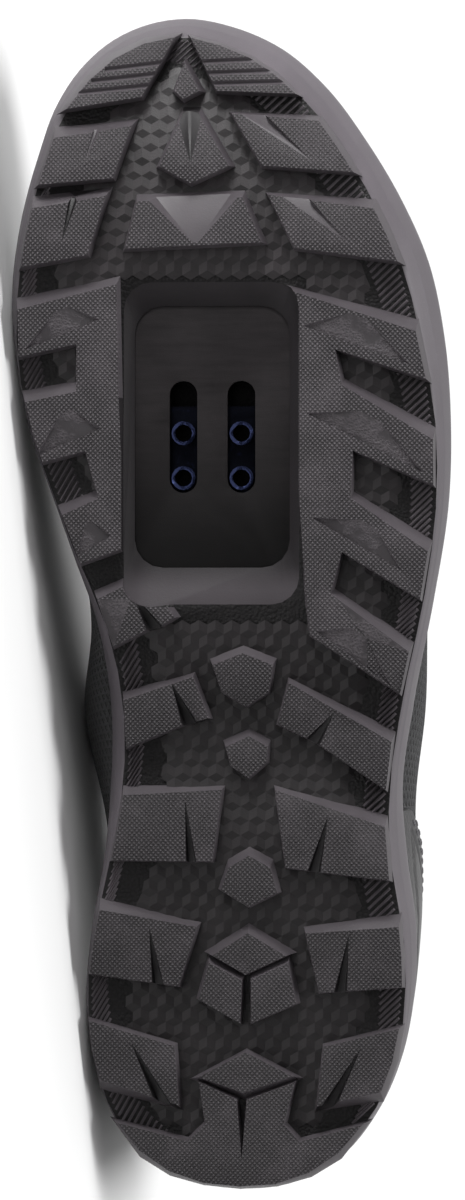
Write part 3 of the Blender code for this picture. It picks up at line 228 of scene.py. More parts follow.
class ShoeColours(bpy.types.PropertyGroup):
    """Colours of the shoe's materials."""

    lug: colour_property("Lugs", "Rubber of the lugs' faces", (0.043, 0.038, 0.042))
    lug_side: colour_property("Lug sides", "Smooth rubber of the lugs' sides", (0.058, 0.051, 0.057))
    floor: colour_property("Tread floor", "Rubber between the lugs", (0.0062, 0.0053, 0.0058))
    rand: colour_property("Rand", "Rubber of the sole's side", (0.088, 0.078, 0.088))
    foam: colour_property("Midsole", "Foam above the rand", (0.036, 0.033, 0.036))
    plate: colour_property("Cleat plate", "Moulded plastic plate", (0.0105, 0.0092, 0.0098))
    nut: colour_property("Nut plate", "Blued steel", (0.035, 0.045, 0.110))
    mesh: colour_property("Upper", "Knitted mesh", (0.009, 0.009, 0.010))
    overlay: colour_property("Overlays", "Smooth synthetic", (0.0105, 0.0098, 0.0110))
    lining: colour_property("Lining", "Brushed fabric", (0.0125, 0.0125, 0.0140))
    insole: colour_property("Insole", "Fabric on foam", (0.028, 0.028, 0.031))
    thread: colour_property("Thread", "Stitching", (0.110, 0.106, 0.115))
    ground: colour_property("Ground", "Plain pale floor", (0.86, 0.86, 0.86))


def smooth(value):
    """Smooth step: 0 below 0, 1 above 1, with level ends."""
    value = np.clip(value, 0.0, 1.0)
    return value * value * (3.0 - 2.0 * value)


def bump_shape(value):
    """Bell: 1 at 0, level there, and 0 from 1 outwards."""
    return 1.0 - smooth(np.abs(value))


def line_at(distance, inset, half_width):
    """Bell across a line that runs at an inset: 1 on it, 0 from half its width away."""
    return bump_shape((distance - inset) / half_width)


def unit(vectors):
    """Vectors scaled to length 1."""
    return vectors / np.maximum(np.linalg.norm(vectors, axis=-1, keepdims=True), 1e-12)


def evenly(count):
    """Stations at even steps round the outline, from the heel's back."""
    return np.arange(count) / count


def closed_spline(knots, values, query):
    """Smooth closed curve through rows at increasing knots in 0 to 1: a cubic Hermite."""
    knots = np.asarray(knots, float)
    values = np.asarray(values, float)
    following = np.roll(np.arange(len(knots)), -1)
    previous = np.roll(np.arange(len(knots)), 1)
    step_on = ((knots[following] - knots) % 1.0)[:, None]
    step_back = ((knots - knots[previous]) % 1.0)[:, None]
    slope_on = (values[following] - values) / step_on
    slope_back = (values - values[previous]) / step_back
    slope = (slope_on * step_back + slope_back * step_on) / (step_on + step_back)
    query = np.asarray(query, float) % 1.0
    row = (np.searchsorted(knots, query, side="right") - 1) % len(knots)
    width = step_on[row]
    t = (((query - knots[row]) % 1.0) / width[..., 0])[..., None]
    return ((2 * t ** 3 - 3 * t ** 2 + 1) * values[row]
            + (t ** 3 - 2 * t ** 2 + t) * width * slope[row]
            + (3 * t ** 2 - 2 * t ** 3) * values[following[row]]
            + (t ** 3 - t ** 2) * width * slope[following[row]])


def along_path(points):
    """Shares of the length along a closed path, one for each point, and the whole length."""
    steps = np.linalg.norm(np.roll(points, -1, axis=0) - points, axis=1)
    return np.concatenate([[0.0], np.cumsum(steps)[:-1]]) / steps.sum(), steps.sum()


class ShoeForm:
    """The shoe's outline, ground lines and wall as functions of its driving sizes.

    A station is a share of the way round the outline from the heel's back by the medial side, and
    a wall's share runs from 0 at its foot to 1 at its top edge.
    """

    samples = 1440

    def __init__(self):
        sizes = bpy.context.scene.shoe_sizes
        self.length = sizes.length
        self.ball_width = sizes.ball_width
        self.instep = sizes.instep_height
        self.heights = {"collar": sizes.collar_height, "instep": sizes.instep_height}
        rows = np.array(OUTLINE, float)
        points = rows[:, 1::-1] / 100.0 * np.array([self.ball_width, self.length])
        knots, _ = along_path(points)
        even = evenly(self.samples)
        self.dense = closed_spline(knots, points, even)
        self.dense_stations, self.perimeter = along_path(self.dense)
        self.row_stations = np.interp(knots, even, self.dense_stations)
        self.flares = rows[:, 2:3]
        self.toe_sample = int(np.argmax(self.dense[:, 1]))
        self.section_stations = [self.station_of(side, along) for side, along, *_ in UPPER_SECTIONS]
        self.sections = self.section_values()
        self.throat_medial = self.section_stations[THROAT_ROWS[-1][0]]
        self.throat_lateral = self.section_stations[THROAT_ROWS[-1][1]]
        self.turn, self.origin = self.resting_place()

    def resting_place(self):
        """The shoe's axes as columns, and its origin, from the frame's slide joint and cleat seat."""
        record = FRAME["record"]
        seat = next(mount for mount in record["mounts"] if mount["name"] == "cleat_seat")
        up = unit(-np.array(seat["axis"]))
        toe = np.array(FRAME["joints"][0]["axis"])
        toe = unit(toe - up * toe.dot(up))
        turn = np.column_stack([np.cross(toe, up), toe, up])
        place = np.array([CLEAT_ACROSS * self.ball_width, CLEAT_ALONG * self.length,
                          LUG_DEPTH + BASE_THICKNESS + FIT_GAP])
        return turn, np.array(seat["pos_m"]) - turn @ place

    def laid(self, points):
        """Points in the shoe's axes as points in the frame."""
        return np.asarray(points) @ self.turn.T + self.origin

    def stood(self, points):
        """Points in the frame as points in the shoe's axes."""
        return (np.asarray(points) - self.origin) @ self.turn

    def outline_point(self, station):
        """Point on the sole's widest outline, and the outward normal there."""
        station = np.asarray(station, float)
        reach = 0.006
        point = closed_spline(self.dense_stations, self.dense, station)
        tangent = (closed_spline(self.dense_stations, self.dense, station + reach)
                   - closed_spline(self.dense_stations, self.dense, station - reach))
        tangent = unit(tangent)
        return point, np.stack([tangent[..., 1], -tangent[..., 0]], axis=-1)

    def inset_point(self, station, inset):
        """The outline moved inwards."""
        point, normal = self.outline_point(station)
        return point - normal * np.asarray(inset)[..., None]

    def flare_at(self, station):
        """How far the rand flares out beyond the tread's edge."""
        return closed_spline(self.row_stations, self.flares, station)[..., 0] / 100.0 * RAND_FLARE

    def station_of(self, side, along):
        """Station where one side of the outline passes a share of the length, in percent."""
        target = along / 100.0 * self.length
        run = slice(None, self.toe_sample + 1)
        if side == "lateral":
            run = slice(None, self.toe_sample - 1, -1)
        return float(np.interp(target, self.dense[run, 1], self.dense_stations[run]))

    def rise(self, y):
        """Height added by the toe spring and the arch at a distance from the heel."""
        share = np.asarray(y) / self.length
        toe = np.clip((share - TOE_BEND_START) / (1.0 - TOE_BEND_START), 0.0, None) ** TOE_BEND_POWER
        arch = np.clip((share - ARCH_START) / (ARCH_END - ARCH_START), 0.0, 1.0)
        return TOE_SPRING * toe + ARCH_RISE * np.sin(math.pi * arch) ** 2

    def arch_sag(self, y):
        """How far the flat faces of the CAD floor may lie under its curve, in the arch."""
        share = np.asarray(y) / self.length
        return ARCH_SAG * smooth((share - ARCH_START) / ARCH_EASE) * smooth((ARCH_END - share) / ARCH_EASE)

    def stack(self, y):
        """Height of the foot bed's underside above the tread, before the shoe is bent."""
        share = np.asarray(y) / self.length
        return FOREFOOT_STACK + (HEEL_STACK - FOREFOOT_STACK) * smooth((STACK_END - share) / STACK_RUN)

    def bent(self, points):
        """Points raised by the toe spring and the arch."""
        points = np.array(points, float)
        points[..., 2] += self.rise(points[..., 1])
        return points

    def raised(self, flat, height):
        """Points of the plan at a height above their ground line."""
        height = np.broadcast_to(height, flat.shape[:-1])
        return self.bent(np.concatenate([flat, height[..., None]], axis=-1))

    def band_share(self, y):
        """How far the midsole shows above the rand: 0 at the ball, 1 from the waist to the heel."""
        return smooth((self.stack(y) - RAND_HEIGHT - BAND_START) / BAND_RUN)

    def feather_inset(self, y):
        """Inset of the upper's lower edge."""
        return FEATHER_DEEP + (FEATHER_HIGH - FEATHER_DEEP) * self.band_share(y)

    def section_values(self):
        """Top point, low handle and high handle of each section, as nine numbers a row."""
        _, normals = self.outline_point(self.section_stations)
        rows = []
        for section, normal in zip(UPPER_SECTIONS, normals):
            along, across, height_name, height, low_out, low_up, high_out, high_down = section[2:]
            top = (across / 100 * self.ball_width, along / 100 * self.length,
                   height / 100 * self.heights[height_name])
            low = (*(normal * low_out / 100 * self.ball_width), low_up / 100 * self.instep)
            high = (*(normal * high_out / 100 * self.ball_width), -high_down / 100 * self.instep)
            rows.append(top + low + high)
        return rows

    def wall_centre(self, station, share):
        """The wall's surface: a cubic curve from its foot to its top edge."""
        station, share = np.broadcast_arrays(np.asarray(station, float), np.asarray(share, float))
        foot, _ = self.outline_point(station)
        foot = self.inset_point(station, self.feather_inset(foot[..., 1]))
        foot = np.concatenate([foot, (self.stack(foot[..., 1]) + FIT_GAP)[..., None]], axis=-1)
        values = closed_spline(self.section_stations, self.sections, station)
        top = values[..., 0:3]
        low = foot + values[..., 3:6]
        high = top + values[..., 6:9]
        h = share[..., None]
        return self.bent(foot * (1 - h) ** 3 + 3 * low * h * (1 - h) ** 2
                         + 3 * high * h ** 2 * (1 - h) + top * h ** 3)

    def wall_frame(self, station, share):
        """Point, outward normal and upward direction of the wall."""
        station, share = np.broadcast_arrays(np.asarray(station, float), np.asarray(share, float))
        reach = 0.004
        climb = 0.02
        around = self.wall_centre(station + reach, share) - self.wall_centre(station - reach, share)
        upwards = (self.wall_centre(station, np.minimum(share + climb, 1.0))
                   - self.wall_centre(station, np.maximum(share - climb, 0.0)))
        upwards = unit(upwards)
        return self.wall_centre(station, share), unit(np.cross(around, upwards)), upwards

    def wall_point(self, station, share, offset):
        """Point of the wall moved out along its normal."""
        point, normal, _ = self.wall_frame(station, share)
        return point + normal * np.broadcast_to(offset, point.shape[:-1])[..., None]

    def throat_share(self, station):
        """1 where the wall ends at the throat, 0 where it ends at the collar."""
        station = np.asarray(station, float) % 1.0
        ease = 0.012
        return (smooth((station - self.throat_medial) / ease + 0.5)
                * smooth((self.throat_lateral - station) / ease + 0.5))

    def wall_thickness(self, station, share):
        """The wall, thicker where the collar is padded."""
        padded = smooth((np.asarray(share) - PADDING_START) / PADDING_RUN)
        return UPPER_WALL + COLLAR_PADDING * (1.0 - self.throat_share(station)) * padded

    def throat_pair(self, place):
        """Medial and lateral stations whose top edges face each other, at a share of the throat."""
        along = np.array([UPPER_SECTIONS[m][2] for m, _ in THROAT_ROWS])
        wanted = along[0] + (along[-1] - along[0]) * np.asarray(place)
        medial = np.interp(-wanted, -along, [self.section_stations[m] for m, _ in THROAT_ROWS])
        lateral = np.interp(-wanted, -along, [self.section_stations[n] for _, n in THROAT_ROWS])
        return medial, lateral

    def share_at_height(self, stations, heights):
        """Share of the wall at which it passes a height above its own ground line."""
        steps = np.linspace(0.0, 0.4, 81)
        curve = self.wall_centre(np.asarray(stations)[:, None], steps[None, :])
        level = curve[..., 2] - self.rise(curve[..., 1])
        return np.array([np.interp(h, row, steps) for h, row in zip(heights, level)])

    def above_sole(self, stations):
        """Lowest share of an overlay: just clear of the rand and the midsole."""
        y = self.outline_point(stations)[0][..., 1]
        return self.share_at_height(stations, np.maximum(RAND_HEIGHT, self.stack(y)) + 3 * FIT_GAP)


def grid_faces(rows, columns, wrap_rows=False, wrap_columns=False):
    """Quads of a grid of points, facing round-the-rows cross up-the-columns."""
    r = np.arange(rows if wrap_rows else rows - 1)[:, None]
    c = np.arange(columns if wrap_columns else columns - 1)[None, :]
    r_on = (r + 1) % rows
    c_on = (c + 1) % columns
    quads = (r * columns + c, r_on * columns + c, r_on * columns + c_on, r * columns + c_on)
    return np.stack(np.broadcast_arrays(*quads), axis=-1).reshape(-1, 4)


def shell_faces(rows, columns):
    """Quads of a closed sheet whose outer grid of points comes before its inner one."""
    size = rows * columns
    outer = grid_faces(rows, columns)
    inner = outer[:, ::-1] + size
    rims = []
    r = np.arange(rows - 1)
    c = np.arange(columns - 1)
    for a, b in ((r * columns, (r + 1) * columns),
                 ((r + 1) * columns + columns - 1, r * columns + columns - 1),
                 (c + 1, c),
                 ((rows - 1) * columns + c, (rows - 1) * columns + c + 1)):
        rims.append(np.stack([a, a + size, b + size, b], axis=-1))
    return np.concatenate([outer, inner, *rims])


def joined(parts):
    """Points and faces of several meshes as one."""
    points = []
    faces = []
    start = 0
    for part_points, part_faces in parts:
        part_points = np.asarray(part_points).reshape(-1, 3)
        points.append(part_points)
        faces += [tuple(int(v) + start for v in face) for face in part_faces]
        start += len(part_points)
    return np.concatenate(points), faces


def add_piece(name, points, faces, materials, slot_name, body="shoe", stands_for=(), places=None,
              choice=None, closed=False):
    """Mesh object from points in the shoe's axes. It rides on a body of the frame.

    places holds a pair for each point that the material reads as UV, in metres along the cloth, and
    choice the number of each face's material. A closed piece has its poles welded and its faces
    turned outwards.
    """
    form = ShoeForm()
    mesh = bpy.data.meshes.new(name)
    mesh.from_pydata(form.laid(np.asarray(points).reshape(-1, 3)).tolist(), [],
                     [tuple(map(int, face)) for face in faces])
    if places is not None:
        corners = np.zeros(len(mesh.loops), np.int32)
        mesh.loops.foreach_get("vertex_index", corners)
        layer = mesh.uv_layers.new(name="cloth")
        layer.data.foreach_set("uv", np.asarray(places, np.float32).reshape(-1, 2)[corners].ravel())
    if choice is not None:
        mesh.polygons.foreach_set("material_index", np.asarray(choice, np.int32))
    if closed:
        shape = bmesh.new()
        shape.from_mesh(mesh)
        bmesh.ops.remove_doubles(shape, verts=shape.verts, dist=WELD)
        bmesh.ops.recalc_face_normals(shape, faces=shape.faces)
        shape.to_mesh(mesh)
        shape.free()
    piece = bpy.data.objects.new(name, mesh)
    bpy.context.scene.collection.objects.link(piece)
    for material in materials:
        mesh.materials.append(material)
    mesh.shade_smooth()
    mesh.set_sharp_from_angle(angle=SHADE_ANGLE)
    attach(piece, body)
    if stands_for:
        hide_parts(*stands_for)
    return piece

def add_sheet(name, outer, inner, finish, slot_name, places=None):
    """Closed piece between two grids of points. It stands for the solid of its name."""
    if places is not None:
        places = np.concatenate([places.reshape(-1, 2)] * 2)
    return add_piece(f"{name}_dressed", np.concatenate([outer.reshape(-1, 3), inner.reshape(-1, 3)]),
                     shell_faces(*outer.shape[:2]), [finish], slot_name, stands_for=(name,),
                     places=places, closed=True)


class Nodes:
    """Adds shader nodes to one material in short calls; an input is a number or another's output."""

    def __init__(self, name, colour, roughness, specular=0.5):
        self.colour = colour
        self.material = bpy.data.materials.new(name)
        self.material.use_nodes = True
        self.tree = self.material.node_tree
        self.shader = self.tree.nodes["Principled BSDF"]
        self.surface({"Base Color": (*colour, 1.0), "Roughness": roughness,
                      "Specular IOR Level": specular})

    def set(self, node, name, value):
        """Set an input to a value or link it to an output."""
        socket = node.inputs[name]
        if isinstance(value, bpy.types.NodeSocket):
            self.tree.links.new(value, socket)
        else:
            socket.default_value = value

    def surface(self, values):
        """Set the shader's own inputs."""
        for name, value in values.items():
            self.set(self.shader, name, value)

    def add(self, kind, values, **options):
        """Outputs of a new node with its options set and its inputs filled."""
        node = self.tree.nodes.new(f"ShaderNode{kind}")
        for name, value in options.items():
            setattr(node, name, value)
        for name, value in values.items():
            self.set(node, name, value)
        return node.outputs

    def math(self, operation, *values):
        """One arithmetic step."""
        return self.add("Math", dict(enumerate(values)), operation=operation)[0]

    def times(self, first, second):
        """A product."""
        return self.math("MULTIPLY", first, second)

    def line(self, value, factor, more):
        """A value times a factor, and more added."""
        return self.math("MULTIPLY_ADD", value, factor, more)

    def ramp(self, value, low, high):
        """0 below low, 1 above high, smooth between."""
        return self.add("MapRange", {0: value, 1: low, 2: high}, interpolation_type="SMOOTHSTEP")[0]

    def blend(self, factor, dark, light):
        """Base colour between two shades, each the material's colour times a number."""
        shades = [(*lighter(self.colour, times), 1.0) for times in (dark, light)]
        mixed = self.add("Mix", {0: factor, 6: shades[0], 7: shades[1]}, data_type="RGBA")
        self.set(self.shader, "Base Color", mixed[2])

    def rough(self, mask, more, least):
        """Roughness that grows from its least with a mask."""
        self.set(self.shader, "Roughness", self.line(mask, more, least))

    def shoe_place(self):
        """Object coordinates turned into the shoe's axes, in millimetres."""
        form = ShoeForm()
        back = Matrix(form.turn.T.tolist())
        where = self.add("TexCoord", {})["Object"]
        return self.add("Mapping", {"Vector": where, "Location": -(back @ Vector(form.origin)) * MM,
                                    "Rotation": back.to_euler(), "Scale": (MM, MM, MM)})[0]

    def cloth_place(self):
        """The piece's own UV map, in millimetres."""
        where = self.add("UVMap", {}, uv_map="cloth")[0]
        return self.add("Mapping", {"Vector": where, "Scale": (MM, MM, MM)})[0]

    def parts(self, place):
        """The three numbers of a place."""
        return self.add("SeparateXYZ", {0: place})

    def noise(self, place, size, detail=3.0, roughness=0.55):
        """Cloudy noise of a size in millimetres, about 0.5."""
        return self.add("TexNoise", {"Vector": place, "Scale": 1.0 / size, "Detail": detail,
                                     "Roughness": roughness})[0]

    def cells(self, place, size):
        """Distance from the middle of random cells of a size in millimetres."""
        return self.add("TexVoronoi", {"Vector": place, "Scale": 1.0 / size})[0]

    def wave(self, x, y, angle, pitch):
        """Sine from 0 to 1 across a direction in degrees, with a pitch in millimetres."""
        turn = math.radians(angle)
        run = self.math("ADD", self.times(x, math.cos(turn)), self.times(y, math.sin(turn)))
        return self.line(self.math("SINE", self.times(run, 2 * math.pi / pitch)), 0.5, 0.5)

    def weave(self, x, y, angle, pitch):
        """Two sines that cross at a right angle."""
        return self.times(self.wave(x, y, angle, pitch), self.wave(x, y, angle - 90.0, pitch))

    def cloud(self, place):
        """Soft patches of wear."""
        return self.ramp(self.noise(place, 14.0, 5.0, 0.6), 0.42, 0.72)

    def worn(self, place, dusty, roughness):
        """Cloudy wear on the colour: lighter, duller patches and fine specks."""
        cloud = self.cloud(place)
        speck = self.ramp(self.noise(place, 0.9, 2.0, 0.5), 0.62, 0.74)
        self.blend(self.line(cloud, 0.32, self.times(speck, 0.22)), 1.0, dusty)
        self.rough(cloud, 0.12, roughness)

    def relief(self, *layers):
        """Bumps on one another, each with a height of 0 to 1 and a depth in metres."""
        normal = None
        for height, depth in layers:
            values = {"Strength": 1.0, "Distance": depth, "Height": height}
            if normal is not None:
                values["Normal"] = normal
            normal = self.add("Bump", values)[0]
        self.set(self.shader, "Normal", normal)


def lighter(colour, times):
    """A colour scaled."""
    return tuple(min(1.0, c * times) for c in colour)


def chosen(name):
    """One of the shoe's colours."""
    return tuple(getattr(bpy.context.scene.shoe_colours, name))


def lug_finish():
    """Rubber with a fine cross-hatched knurl, as on the lugs' faces, the knurl painted lighter towards the toe as
    painted light.
    """
    nodes = Nodes("lug_rubber", chosen("lug"), 0.62, 0.35)
    place = nodes.shoe_place()
    x, y, _ = nodes.parts(place)
    cloud = nodes.cloud(place)
    knurl = nodes.weave(x, y, 45.0, 0.82)
    # Painted light: the knurl's lighter tone grows towards the toe and fades towards the heel.
    painted_knurl_light_to_toe = nodes.line(nodes.ramp(y, 90.0, 190.0), 0.4, 0.6)
    nodes.blend(nodes.line(cloud, 0.25, nodes.times(knurl, painted_knurl_light_to_toe)), 0.34, 2.35)
    nodes.rough(cloud, 0.1, 0.5)
    nodes.relief((knurl, 0.00030), (nodes.noise(place, 0.35, 2.0), 0.00005))
    return nodes.material


def side_finish(name, colour, specular=0.35, dusty=1.5, roughness=0.46, grain=0.5):
    """Plain moulded rubber of the lugs' sides, the rand, the darts or the ribs, with a fine grain."""
    nodes = Nodes(name, colour, 0.5, specular)
    place = nodes.shoe_place()
    nodes.worn(place, dusty, roughness)
    nodes.relief((nodes.noise(place, grain), 0.00004))
    return nodes.material


def floor_finish():
    """Rubber between the lugs: dark, with a moulded stipple and dust."""
    nodes = Nodes("tread_floor_rubber", chosen("floor"), 0.55, 0.2)
    place = nodes.shoe_place()
    stipple = nodes.cells(place, 0.75)
    nodes.blend(nodes.line(nodes.noise(place, 9.0, 4.0, 0.6), 0.5, nodes.times(stipple, -0.35)), 0.6, 2.4)
    nodes.rough(stipple, 0.2, 0.42)
    nodes.relief((nodes.math("SUBTRACT", 1.0, stipple), 0.00018))
    return nodes.material


def panel_finish():
    """Stippled rubber of the sunk panels on the lugs' faces."""
    nodes = Nodes("panel_rubber", lighter(chosen("lug"), 0.72), 0.6, 0.3)
    place = nodes.shoe_place()
    patches = nodes.ramp(nodes.noise(place, 6.0), 0.4, 0.55)
    stipple = nodes.times(nodes.cells(place, 0.55), patches)
    nodes.blend(stipple, 1.0, 2.2)
    nodes.relief((stipple, 0.0002))
    return nodes.material


def recess_finish():
    """Dark, smooth rubber of the cleat's recess, with a painted band of light on its rear ledge."""
    nodes = Nodes("recess_rubber", lighter(chosen("lug"), 0.3), 0.55, 0.15)
    place = nodes.shoe_place()
    _, along, _ = nodes.parts(place)
    # Painted light: a band of light across the rear ledge of the recess.
    painted_ledge_light = nodes.math("SUBTRACT", 1.0, nodes.ramp(along, 143.0, 152.0))
    nodes.blend(nodes.line(nodes.noise(place, 9.0, 4.0, 0.6), 0.2, painted_ledge_light), 1.0, 4.0)
    nodes.relief((nodes.noise(place, 0.5), 0.00005))
    return nodes.material


def facet_finish():
    """Rubber of the moulded facets between the lugs. Each facet's UV carries its tone: painted light and shade,
    fixed for each of a hexagon's three facets, with a random part; the tone is also painted lighter towards the
    toe, as painted light.
    """
    nodes = Nodes("tread_facet_rubber", chosen("floor"), 0.45, 0.3)
    tone, _, _ = nodes.parts(nodes.cloth_place())
    place = nodes.shoe_place()
    _, along, _ = nodes.parts(place)
    # Painted light: the facets' tones grow towards the toe.
    painted_light_to_toe = nodes.line(nodes.ramp(along, 120.0, 190.0), 0.0006, 0.0003)
    nodes.blend(nodes.line(nodes.noise(place, 5.0, 4.0, 0.6), 0.4, nodes.times(tone, painted_light_to_toe)), 0.7, 4.6)
    nodes.relief((nodes.noise(place, 0.4), 0.00005))
    return nodes.material


def foam_finish(name, colour, specular):
    """Moulded midsole foam: fine closed cells under a slightly glossy skin."""
    nodes = Nodes(name, colour, 0.6, specular)
    place = nodes.shoe_place()
    nodes.worn(place, 1.6, 0.55)
    nodes.relief((nodes.cells(place, 0.9), 0.00012), (nodes.noise(place, 0.3, 2.0), 0.00004))
    return nodes.material


def plate_finish():
    """Glass-filled plastic: matte, with painted shade that makes it darker behind, and faint flow marks across it.
    """
    nodes = Nodes("plate_plastic", chosen("plate"), 0.45, 0.14)
    place = nodes.shoe_place()
    x, y, z = nodes.parts(place)
    flow = nodes.add("CombineXYZ", {0: nodes.times(x, 0.12), 1: y, 2: z})[0]
    marks = nodes.noise(flow, 1.6, 4.0, 0.65)
    tone = nodes.line(marks, 0.7, nodes.times(nodes.noise(place, 11.0), 0.5))
    # Painted shade: the plate's tone drops towards the heel, as shade in the recess.
    painted_light_to_toe = nodes.line(nodes.ramp(y, 150.0, 195.0), 0.95, 0.05)
    nodes.blend(nodes.times(tone, painted_light_to_toe), 0.15, 2.6)
    nodes.rough(marks, 0.25, 0.38)
    nodes.relief((marks, 0.00003), (nodes.noise(place, 0.25, 2.0), 0.00004))
    return nodes.material


def steel_finish(name, colour, roughness):
    """Blued steel with a turned thread and worn, shiny spots."""
    nodes = Nodes(name, colour, roughness)
    place = nodes.shoe_place()
    _, _, z = nodes.parts(place)
    spots = nodes.ramp(nodes.noise(place, 1.8, 4.0, 0.6), 0.56, 0.78)
    nodes.blend(spots, 0.6, 3.5)
    nodes.surface({"Metallic": 0.95})
    nodes.rough(spots, 0.12, roughness)
    nodes.relief((nodes.wave(z, z, 0.0, 0.8), 0.0001), (nodes.noise(place, 0.3), 0.00003))
    return nodes.material


def knit_finish():
    """Knitted mesh: rows of small open holes between looped yarns, with a soft nap."""
    nodes = Nodes("knit_mesh", chosen("mesh"), 0.85)
    x, y, _ = nodes.parts(nodes.cloth_place())
    waves = [nodes.wave(x, y, angle, 1.9) for angle in (0.0, 60.0, 120.0)]
    yarn = nodes.ramp(nodes.math("ADD", nodes.math("ADD", waves[0], waves[1]), waves[2]), 2.25, 1.35)
    loops = nodes.wave(x, y, 90.0, 0.42)
    nodes.blend(nodes.times(yarn, nodes.line(loops, 0.5, 0.6)), 0.2, 3.2)
    nodes.surface({"Sheen Weight": 0.2, "Sheen Roughness": 0.4})
    nodes.relief((yarn, 0.00045), (loops, 0.00012))
    return nodes.material


def woven_finish(name, colour, pitch, depth, sheen):
    """Fine plain weave or brushed cloth on the piece's own UV."""
    nodes = Nodes(name, colour, 0.9)
    place = nodes.cloth_place()
    x, y, _ = nodes.parts(place)
    weave = nodes.weave(x, y, 20.0, pitch)
    fuzz = nodes.noise(place, 2.5, 5.0, 0.7)
    nodes.blend(nodes.line(fuzz, 0.5, nodes.times(weave, 0.55)), 0.55, 1.7)
    nodes.surface({"Sheen Weight": sheen, "Sheen Roughness": 0.5})
    nodes.relief((weave, depth), (fuzz, depth * 0.8))
    return nodes.material


def synthetic_finish(name, gloss):
    """Smooth coated synthetic: leather-like pores, cloudy wear and a thin coat."""
    nodes = Nodes(name, chosen("overlay"), gloss)
    place = nodes.shoe_place()
    nodes.worn(place, 1.9, gloss)
    nodes.surface({"Coat Weight": 0.15, "Coat Roughness": 0.35})
    nodes.relief((nodes.cells(place, 0.8), 0.00009), (nodes.noise(place, 0.3), 0.00004))
    return nodes.material


def thread_finish():
    """Twisted sewing thread."""
    nodes = Nodes("thread", chosen("thread"), 0.6)
    x, y, _ = nodes.parts(nodes.shoe_place())
    twist = nodes.wave(x, y, 40.0, 0.5)
    nodes.blend(twist, 0.7, 1.4)
    nodes.surface({"Sheen Weight": 0.2})
    nodes.relief((twist, 0.00008))
    return nodes.material


def merged_copy(node, angle, rounding, steps):
    """A CAD node's mesh as a new one: corners merged, flat faces joined and edges rounded."""
    shape = bmesh.new()
    shape.from_mesh(FRAME["nodes"][node].data)
    bmesh.ops.remove_doubles(shape, verts=shape.verts, dist=1e-5)
    bmesh.ops.dissolve_limit(shape, angle_limit=math.radians(1.0), verts=shape.verts, edges=shape.edges)
    mesh = bpy.data.meshes.new(node)
    shape.to_mesh(mesh)
    shape.free()
    holder = bpy.data.objects.new("rounding", mesh)
    bpy.context.scene.collection.objects.link(holder)
    bevel = holder.modifiers.new("round", "BEVEL")
    bevel.width = rounding
    bevel.segments = steps
    bevel.limit_method = "ANGLE"
    bevel.angle_limit = math.radians(angle)
    bevel.use_clamp_overlap = True
    graph = bpy.context.evaluated_depsgraph_get()
    result = bpy.data.meshes.new_from_object(holder.evaluated_get(graph))
    bpy.data.objects.remove(holder)
    bpy.data.meshes.remove(mesh)
    return result


def mesh_arrays(mesh):
    """A mesh's points, and its faces as lists of corners."""
    points = np.zeros(len(mesh.vertices) * 3)
    mesh.vertices.foreach_get("co", points)
    return points.reshape(-1, 3), [tuple(face.vertices) for face in mesh.polygons]

def face_facts(form, mesh):
    """Middle, normal and level of each face in the shoe's axes; the level leaves out the bend."""
    found = []
    for name in ("center", "normal"):
        values = np.zeros(len(mesh.polygons) * 3)
        mesh.polygons.foreach_get(name, values)
        found.append(values.reshape(-1, 3))
    middles = form.stood(found[0])
    return middles, found[1] @ form.turn, middles[:, 2] - form.rise(middles[:, 1])


def solid_copy(form, node, angle, rounding, steps):
    """Points and faces of a CAD node's rounded copy in the shoe's axes, and the faces' facts."""
    mesh = merged_copy(node, angle, rounding, steps)
    points, faces = mesh_arrays(mesh)
    facts = face_facts(form, mesh)
    bpy.data.meshes.remove(mesh)
    return form.stood(points), faces, *facts


def rounded_run(points, times):
    """Corner cutting: each corner becomes two points at a quarter of its sides, ends kept."""
    points = np.asarray(points, float)
    for _ in range(times):
        near = points[:-1] * 0.75 + points[1:] * 0.25
        far = points[:-1] * 0.25 + points[1:] * 0.75
        between = np.stack([near, far], axis=1).reshape(-1, *points.shape[1:])
        points = np.concatenate([points[:1], between[1:-1], points[-1:]])
    return points


def evened(rows, times, axis):
    """Points of a grid moved towards their neighbours along one axis, its ends kept."""
    rows = np.moveaxis(np.array(rows, float), axis, 0)
    for _ in range(times):
        rows[1:-1] = rows[:-2] * 0.25 + rows[1:-1] * 0.5 + rows[2:] * 0.25
    return np.moveaxis(rows, 0, axis)


def run_along(points, axis):
    """Length from the start along one axis of a grid of points."""
    steps = np.linalg.norm(np.diff(points, axis=axis), axis=-1)
    run = np.cumsum(steps, axis=axis)
    return np.concatenate([np.zeros_like(np.take(run, [0], axis=axis)), run], axis=axis)


def border_distance(points):
    """Distance of each point of a grid from the grid's nearest border."""
    across = run_along(points, 1)
    along = run_along(points, 0)
    return np.minimum(np.minimum(across, across[:, -1:] - across), np.minimum(along, along[-1:] - along))


def quarter_round(distance, radius, least=0.0):
    """Height share of a rounded edge: its least at the border and 1 from the radius inwards."""
    return least + (1.0 - least) * np.sqrt(1.0 - (1.0 - np.clip(distance / radius, 0.0, 1.0)) ** 2)


def grid_normals(points):
    """Unit normals of a grid of points: rows cross columns."""
    return unit(np.cross(np.gradient(points, axis=0), np.gradient(points, axis=1)))


